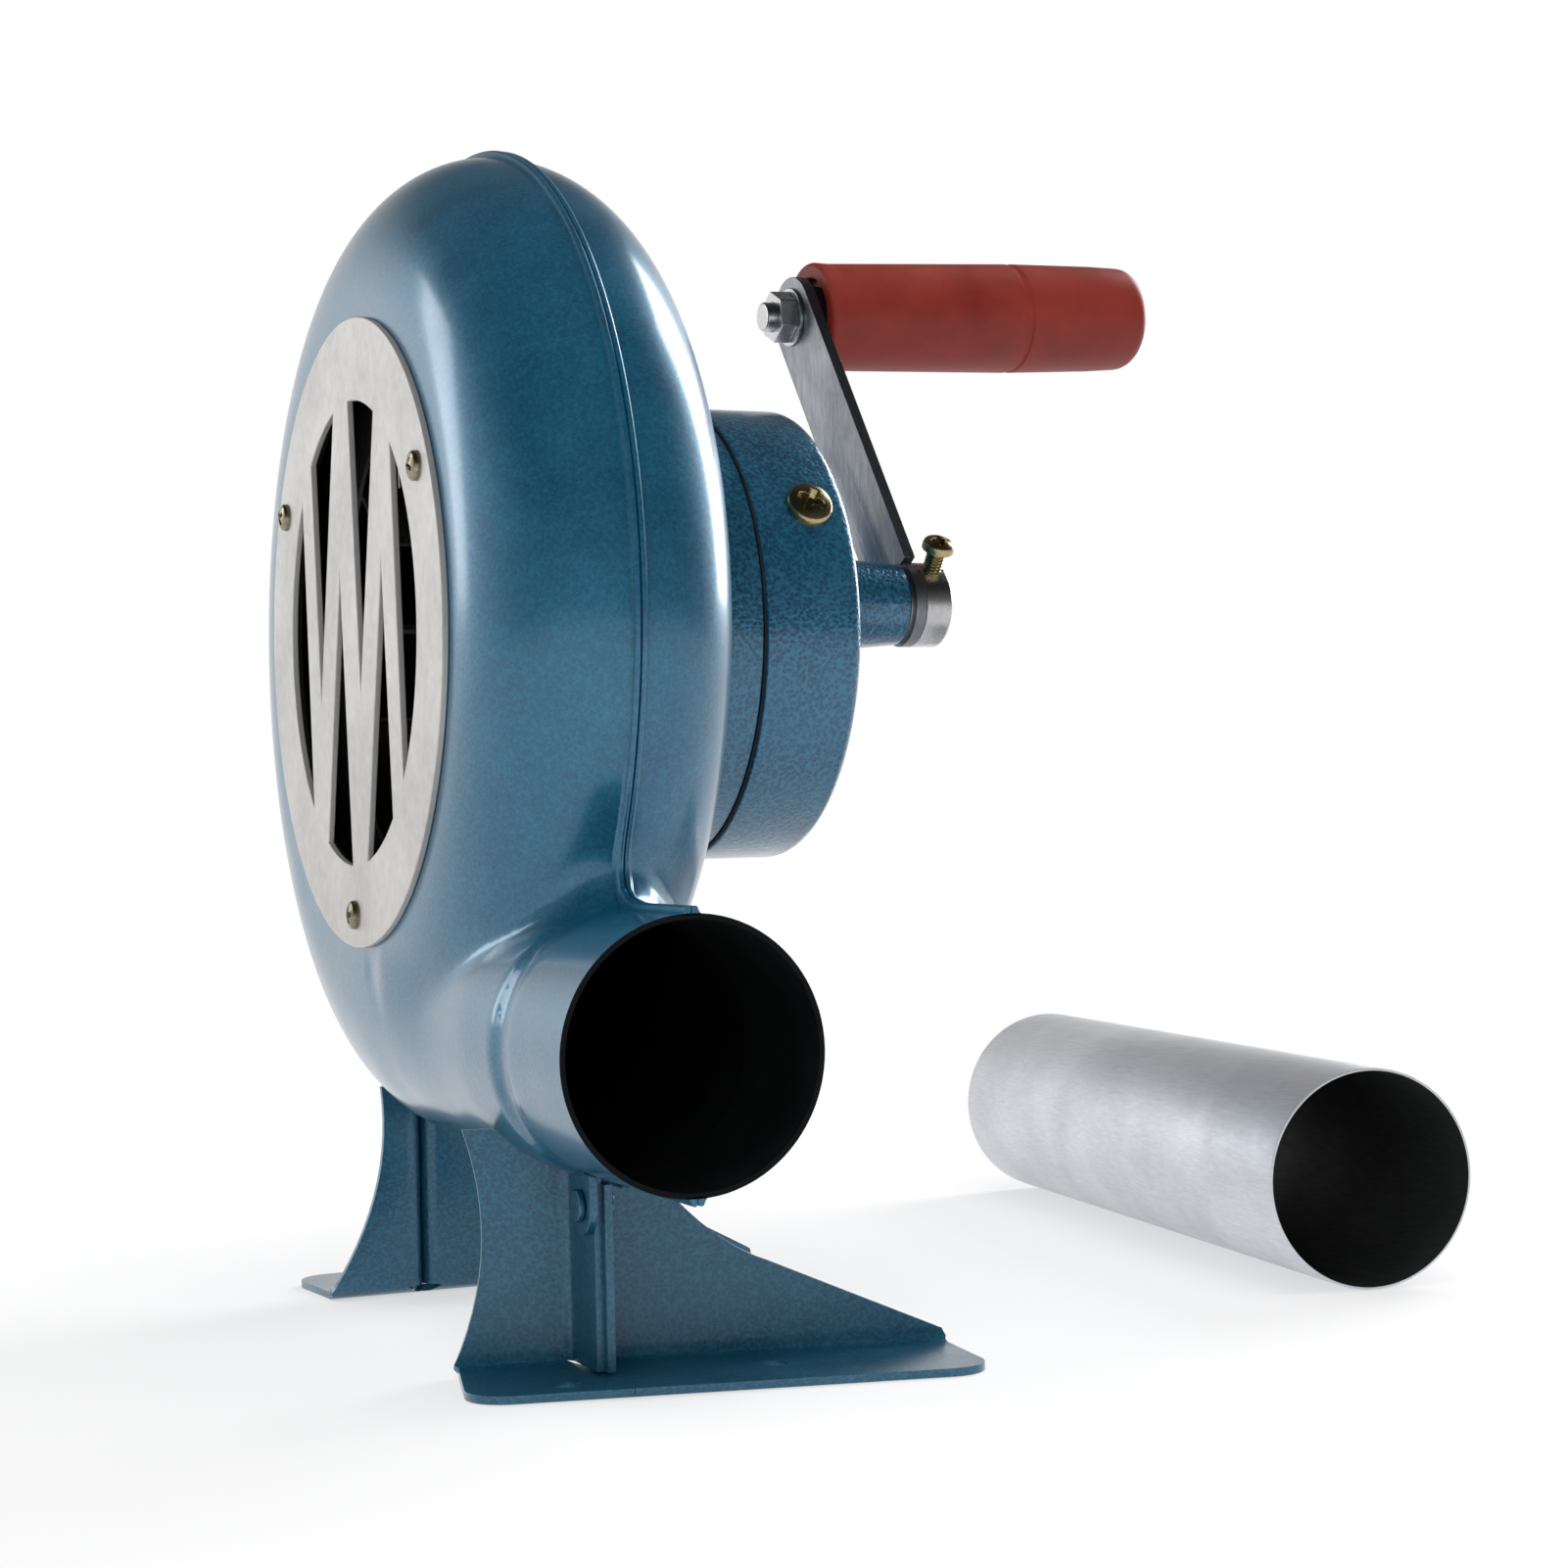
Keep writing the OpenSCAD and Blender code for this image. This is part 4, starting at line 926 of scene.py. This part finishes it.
def screwSet(name, places, material, body, slot, node, *shape):
    verts, faces = joinParts(*[screw(p, *shape) for p in places])
    obj = meshPiece(name, verts, faces, 42)
    return showPiece(obj, [material], body, [node])


def casingPlace(x, y, z, along, up=(0, 0, 1)):
    return axisFrame(toRow((x, y, z)), along, up)


grilleScrews = {"x": -32.8, "ring": 68.5, "angles": (30, 150, 270), "turns": (20, 60, 5), "headR": 3.5,
                "headH": 2.2, "shankR": 1.7, "shank": 6.6}
g = grilleScrews
places = []
for angle, slotTurn in zip(g["angles"], g["turns"]):
    a, t = math.radians(angle), math.radians(slotTurn)
    places.append(casingPlace(g["x"], g["ring"] * math.cos(a), g["ring"] * math.sin(a), (1, 0, 0),
                              (0, math.sin(t), math.cos(t))))
screwSet("grilleScrews", places, dullZinc, "root", "zinc", "grille_screws", g["headR"], g["headH"],
         g["shankR"], g["shank"])

coverScrews = {"x": 68.0, "seat": 56.9, "turn": -29.4, "slotTurn": 0.5, "headR": 6.0, "headH": 3.6,
               "shankR": 2.5, "shank": 6.8}
g = coverScrews
places = []
for k in range(2):
    a = math.radians(180 * k + g["turn"])
    y, z = -math.cos(a), -math.sin(a)
    c, t = math.cos(g["slotTurn"]), math.sin(g["slotTurn"])
    places.append(casingPlace(g["x"], y * g["seat"], z * g["seat"], (0, -y, -z), (c, -t * z, t * y)))
screwSet("coverScrews", places, zincPlate, "root", "zinc", "cover_screws", g["headR"], g["headH"],
         g["shankR"], g["shank"])
print("screws made")

# ---- gearbox ----

gearbox = {"neckX": 32.0, "neckR": 56.5, "gasketX": 53.0, "coverX": 53.5, "coverR": 57.4,
           "coverIn": 53.4, "coverEnd": 79.0, "coverRound": 3.4, "endWall": 3.5, "spigotR": 53.2,
           "spigotIn": 50.2, "spigotEnd": 72.5, "bossEnd": 111.0, "bossRoot": 12.4, "bossR": 10.5,
           "bore": 7.52, "shaftHoleR": 11.3, "crank": (-8.0, 7.5), "fillet": 4.0, "plate": 4.0}
g = gearbox
onFan = casingPlace(0, 0, 0, (1, 0, 0))
onCrank = casingPlace(0, *g["crank"], (1, 0, 0))

neckProfile = roundedProfile([
    (g["neckX"], g["shaftHoleR"], 0), (g["neckX"], g["neckR"] + 1.6, 0),
    (g["neckX"] + 0.7, g["neckR"] + 0.9, 0.3),
    (g["neckX"] + 3.2, g["neckR"], 1.5), (g["gasketX"], g["neckR"], 0.5), (g["gasketX"], g["spigotR"], 0),
    (g["spigotEnd"], g["spigotR"], 0.4), (g["spigotEnd"], g["spigotIn"], 0.4),
    (g["neckX"] + g["plate"], g["spigotIn"], 0), (g["neckX"] + g["plate"], g["shaftHoleR"], 0)], 4)
neck = meshPiece("gearboxBase", *lathe(neckProfile, onFan, 128), 40)
showPiece(neck, [hammerPaint], "root")

coverProfile = roundedProfile([
    (g["coverX"], g["coverIn"], 0.3), (g["coverX"], g["coverR"], 0.6),
    (g["coverEnd"], g["coverR"], g["coverRound"]), (g["coverEnd"], 0, 0),
    (g["coverEnd"] - g["endWall"], 0, 0), (g["coverEnd"] - g["endWall"], g["coverIn"], 2.0)], 6)
bossProfile = roundedProfile([
    (g["coverEnd"] - 1.0, g["bore"], 0), (g["coverEnd"] - 1.0, g["bossRoot"] + g["fillet"], 0),
    (g["coverEnd"] + 0.02, g["bossRoot"] + g["fillet"] - 0.5, 0.4),
    (g["coverEnd"] + 0.8, g["bossRoot"] + 0.6, 2.2),
    (g["bossEnd"], g["bossR"], 0.9), (g["bossEnd"], g["bore"], 0.5)], 6)
coverParts = joinParts(lathe(coverProfile, onFan, 160), lathe(bossProfile, onCrank, 96))
cover = meshPiece("gearCover", *coverParts, 40)
showPiece(cover, [hammerPaint], "root", ["gear_cover"])
print("gearbox made")

# ---- crank ----

softened("crank_arm", "crank", armSteel, 0.45)
crank = {"collarX": 115.0, "collarEnd": 122.5, "collarR": 11.0, "shaftR": 5.0, "screwX": 118.75,
         "screwTurn": 36.0, "screwHeadAt": 17.0, "screwHeadR": 4.2, "screwHeadH": 3.2, "screwR": 2.5,
         "pitch": 0.9, "threadDepth": 0.45}
g = crank
collarProfile = roundedProfile([(g["collarX"], g["shaftR"], 0), (g["collarX"], g["collarR"], 0.5),
                                (g["collarEnd"], g["collarR"], 0.8), (g["collarEnd"], g["shaftR"], 0.5)], 4)
collar = meshPiece("crankCollar", *lathe(collarProfile, onCrank, 96), 40)
showPiece(collar, [brightSteel], "crank", ["crank_collar"])
lean = math.radians(g["screwTurn"])
outside = np.array([0, -math.sin(lean), math.cos(lean)])
head = np.array([g["screwX"], *gearbox["crank"]]) + outside * g["screwHeadAt"]
place = casingPlace(*head, tuple(-outside), (1, 0, 0))
screwSet("collarScrew", [place], zincPlate, "crank", "zinc", "collar_screw", g["screwHeadR"],
         g["screwHeadH"], g["screwR"], g["screwHeadAt"] - g["shaftR"] - 0.1, g["pitch"], g["threadDepth"])

# ---- handle ----

handle = {"start": 4.0, "end": 107.0, "nearR": 14.75, "bodyR": 15.4, "groove": 65.3, "grooveEnd": 67.7,
          "grooveR": 14.95, "endR": 14.9, "endRound": 5.0, "recessR": 10.8, "recessEnd": 7.2, "boreR": 4.04,
          "counterR": 7.5, "counterStart": 95.0}
h = handle
gripJoint = [j for j in frame["record"]["behaviour"]["joints"] if j["name"] == "grip_spin"][0]
onHandle = axisFrame(gripJoint["pos_m"], gripJoint["axis"])
gripProfile = roundedProfile([
    (h["start"], h["recessR"], 0.5), (h["start"], h["nearR"] + 0.35, 1.4), (h["start"] + 5, h["nearR"], 2.0),
    (h["groove"], h["bodyR"], 0.25), (h["groove"] + 0.25, h["grooveR"], 0.1),
    (h["grooveEnd"] - 0.5, h["grooveR"], 0.1), (h["grooveEnd"], h["bodyR"], 0.2),
    (h["end"] - 14, h["bodyR"] - 0.35, 6),
    (h["end"], h["endR"] - 0.5, h["endRound"]), (h["end"], h["counterR"], 0.6),
    (h["counterStart"], h["counterR"], 0.3), (h["counterStart"], h["boreR"], 0),
    (h["recessEnd"], h["boreR"], 0), (h["recessEnd"], h["recessR"], 0)], 6)
grip = meshPiece("gripBarrel", *lathe(gripProfile, onHandle, 120), 35)
showPiece(grip, [redGrip], "grip", ["handle_grip"])
softened("handle_collar", "crank", armSteel, 0.5)
softened("handle_nut", "crank", brightSteel, 0.5)
softened("handle_washer", "crank", brightSteel, 0.25)
softened("handle_bolt", "crank", brightSteel, 0.6)
print("crank and handle made")

# ---- grille and pipe ----

softened("intake_grille", "root", satinSheet, 0.35)
pipe = {"r": 27.6, "wall": 0.8, "length": 220.0, "near": (201.8, -85.0, -140.4), "turn": 7.4}
p = pipe
turn = math.radians(p["turn"])
onPipe = casingPlace(*p["near"], (math.sin(turn), math.cos(turn), 0))
pipeSheet = roundedProfile([(0, p["r"] - p["wall"], 0.15), (0, p["r"], 0.25), (p["length"], p["r"], 0.25),
                            (p["length"], p["r"] - p["wall"], 0.15)], 2)
pipeObj = meshPiece("dischargePipe", *lathe(pipeSheet, onPipe, 144), 30)
showPiece(pipeObj, [galvanised, boreShade], "pipe", ["discharge_pipe"])
# the bore's faces take the near-black material, painted shade inside the pipe
axisStart, axisDir = Vector(toRow([p["near"]])[0]), Vector((math.sin(turn), math.cos(turn), 0))
for face in pipeObj.data.polygons:
    out = face.center - axisStart
    out -= out.dot(axisDir) * axisDir
    if out.length < (p["r"] - 0.7 * p["wall"]) * mm:
        face.material_index = 1
print("pipe made")

# ---- finishes for the pieces kept from the frame ----

finishes = [
    (zincPlate, "base_screws impeller_nut"),
    (gasketRubber, "gasket"),
    (bronzeMetal, "fan_bush_front fan_bush_rear crank_bush_inner crank_bush_outer"),
    (gearSteel, "idler_pin crank_gear crank_gear_pin idler_pinion idler_gear fan_pinion"),
    (brightSteel, "crank_shaft thrust_washer fan_shaft impeller_rivets"),
    (fanAluminium, "impeller_hub impeller_backplate impeller_blades impeller_shroud"),
    (hammerPaint, "gearbox_base"),
]
for material, names in finishes:
    for name in names.split():
        slots = nodes[name].material_slots
        if not slots:
            nodes[name].data.materials.append(material)
        for slot in slots:
            slot.material = material
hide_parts("gearbox_base")

# ---- floor, light and camera ----

studio = {
    "floorHalf": 6.0,
    "floorDrop": 0.0002,
    "floorGlow": 0.55,
    "fadeFrom": 0.35,
    "fadeTo": 0.9,
    "sky": 0.5,
    "frontWall": 0.14,
    "cameraPlace": (-229.25, -672.2, 123.4),
    "cameraTurn": (23.6, 0.45, -1.3),
    "lens": 67.46,
    "sensor": 36,
}
# place, aim, width, height, power, shows in reflections
softBoxes = {
    "leftPanel": ((-1.02, 1.15, 0.62), (0, 0, 0.18), 0.40, 0.70, 3.4, True),
    "rightPanel": ((1.40, 0.62, 0.80), (0, 0, 0.18), 0.60, 1.10, 18, True),
    "frontFill": ((-0.7, -1.5, 0.9), (0, 0, 0.15), 1.2, 1.2, 11, False),
    "topFill": ((0.1, -0.2, 1.7), (0.1, 0, 0), 1.3, 1.3, 12, False),
}


def stageFloor():
    mesh = bpy.data.meshes.new("studioFloor")
    half = studio["floorHalf"]
    corners = [(-half, -half, 0), (half, -half, 0), (half, half, 0), (-half, half, 0)]
    mesh.from_pydata(corners, [], [(0, 1, 2, 3)])
    obj = bpy.data.objects.new("studioFloor", mesh)
    scene.collection.objects.link(obj)
    obj.location.z = -studio["floorDrop"]
    material = bpy.data.materials.new("pale floor")
    material.use_nodes = True
    tree = material.node_tree
    tree.nodes.clear()
    out = addNode(tree, "ShaderNodeOutputMaterial")
    matte = addNode(tree, "ShaderNodeBsdfDiffuse", {"Color": (0.86, 0.86, 0.87, 1)})
    glow = addNode(tree, "ShaderNodeEmission", {"Color": (1, 1, 1, 1), "Strength": 1.0})
    place = addNode(tree, "ShaderNodeNewGeometry").outputs["Position"]
    away = addNode(tree, "ShaderNodeVectorMath", {0: place}, operation="LENGTH").outputs["Value"]
    far = mapRange(tree, away, studio["fadeFrom"], studio["fadeTo"], studio["floorGlow"], 1.0, True)
    path = addNode(tree, "ShaderNodeLightPath")
    seen = math2(tree, "MAXIMUM", path.outputs["Is Camera Ray"], path.outputs["Is Glossy Ray"])
    seen = math2(tree, "MAXIMUM", seen, path.outputs["Is Transmission Ray"])
    share = math2(tree, "MULTIPLY", far, seen)
    mix = addNode(tree, "ShaderNodeMixShader", {0: share, 1: matte.outputs[0], 2: glow.outputs[0]})
    tree.links.new(mix.outputs[0], out.inputs["Surface"])
    mesh.materials.append(material)


def stageWorld():
    world = bpy.data.worlds.new("studio")
    scene.world = world
    world.use_nodes = True
    tree = world.node_tree
    tree.nodes.clear()
    out = addNode(tree, "ShaderNodeOutputWorld")
    direction = addNode(tree, "ShaderNodeTexCoord").outputs["Generated"]
    height = addNode(tree, "ShaderNodeSeparateXYZ", {0: direction}).outputs["Z"]
    behind = addNode(tree, "ShaderNodeSeparateXYZ", {0: direction}).outputs["Y"]
    wall = mapRange(tree, behind, -0.35, 0.75, studio["frontWall"], 1.0, True)
    ceiling = math2(tree, "MULTIPLY", wall, mapRange(tree, height, 0.10, 0.60, 1.0, 0.10, True))
    path = addNode(tree, "ShaderNodeLightPath")
    glossy = math2(tree, "MAXIMUM", path.outputs["Is Glossy Ray"], path.outputs["Is Transmission Ray"])
    level = addNode(tree, "ShaderNodeMix", {0: glossy, 2: studio["sky"], 3: ceiling})
    level = addNode(tree, "ShaderNodeMix", {0: path.outputs["Is Camera Ray"], 2: level.outputs[0], 3: 1.0})
    shine = addNode(tree, "ShaderNodeBackground", {"Color": (1, 1, 1, 1), "Strength": level.outputs[0]})
    tree.links.new(shine.outputs[0], out.inputs["Surface"])


def softBox(name, place, aim, width, height, power, shines):
    light = bpy.data.lights.new(name, "AREA")
    light.shape = "RECTANGLE"
    light.size, light.size_y = width, height
    light.energy = power
    obj = bpy.data.objects.new(name, light)
    obj.location = place
    obj.rotation_euler = (Vector(aim) - Vector(place)).to_track_quat("-Z", "Y").to_euler()
    obj.visible_glossy = shines
    scene.collection.objects.link(obj)


def stageCamera():
    yaw, pitch, roll = (math.radians(a) for a in studio["cameraTurn"])
    ahead = Vector((math.sin(yaw) * math.cos(pitch), math.cos(yaw) * math.cos(pitch), math.sin(pitch)))
    level = Vector((math.cos(yaw), -math.sin(yaw), 0))
    raised = level.cross(ahead)
    right = level * math.cos(roll) + raised * math.sin(roll)
    up = raised * math.cos(roll) - level * math.sin(roll)
    lens = bpy.data.cameras.new("camera")
    lens.lens, lens.sensor_width, lens.sensor_fit = studio["lens"], studio["sensor"], "HORIZONTAL"
    lens.clip_start, lens.clip_end = 0.05, 50
    camera = bpy.data.objects.new("camera", lens)
    matrix = Matrix((right, up, -ahead)).transposed().to_4x4()
    matrix.translation = Vector(studio["cameraPlace"]) * mm
    camera.matrix_world = matrix
    scene.collection.objects.link(camera)
    scene.camera = camera


stageFloor()
stageWorld()
for name, settings in softBoxes.items():
    softBox(name, *settings)
stageCamera()
scene.view_settings.view_transform = "Standard"
print("stage set")
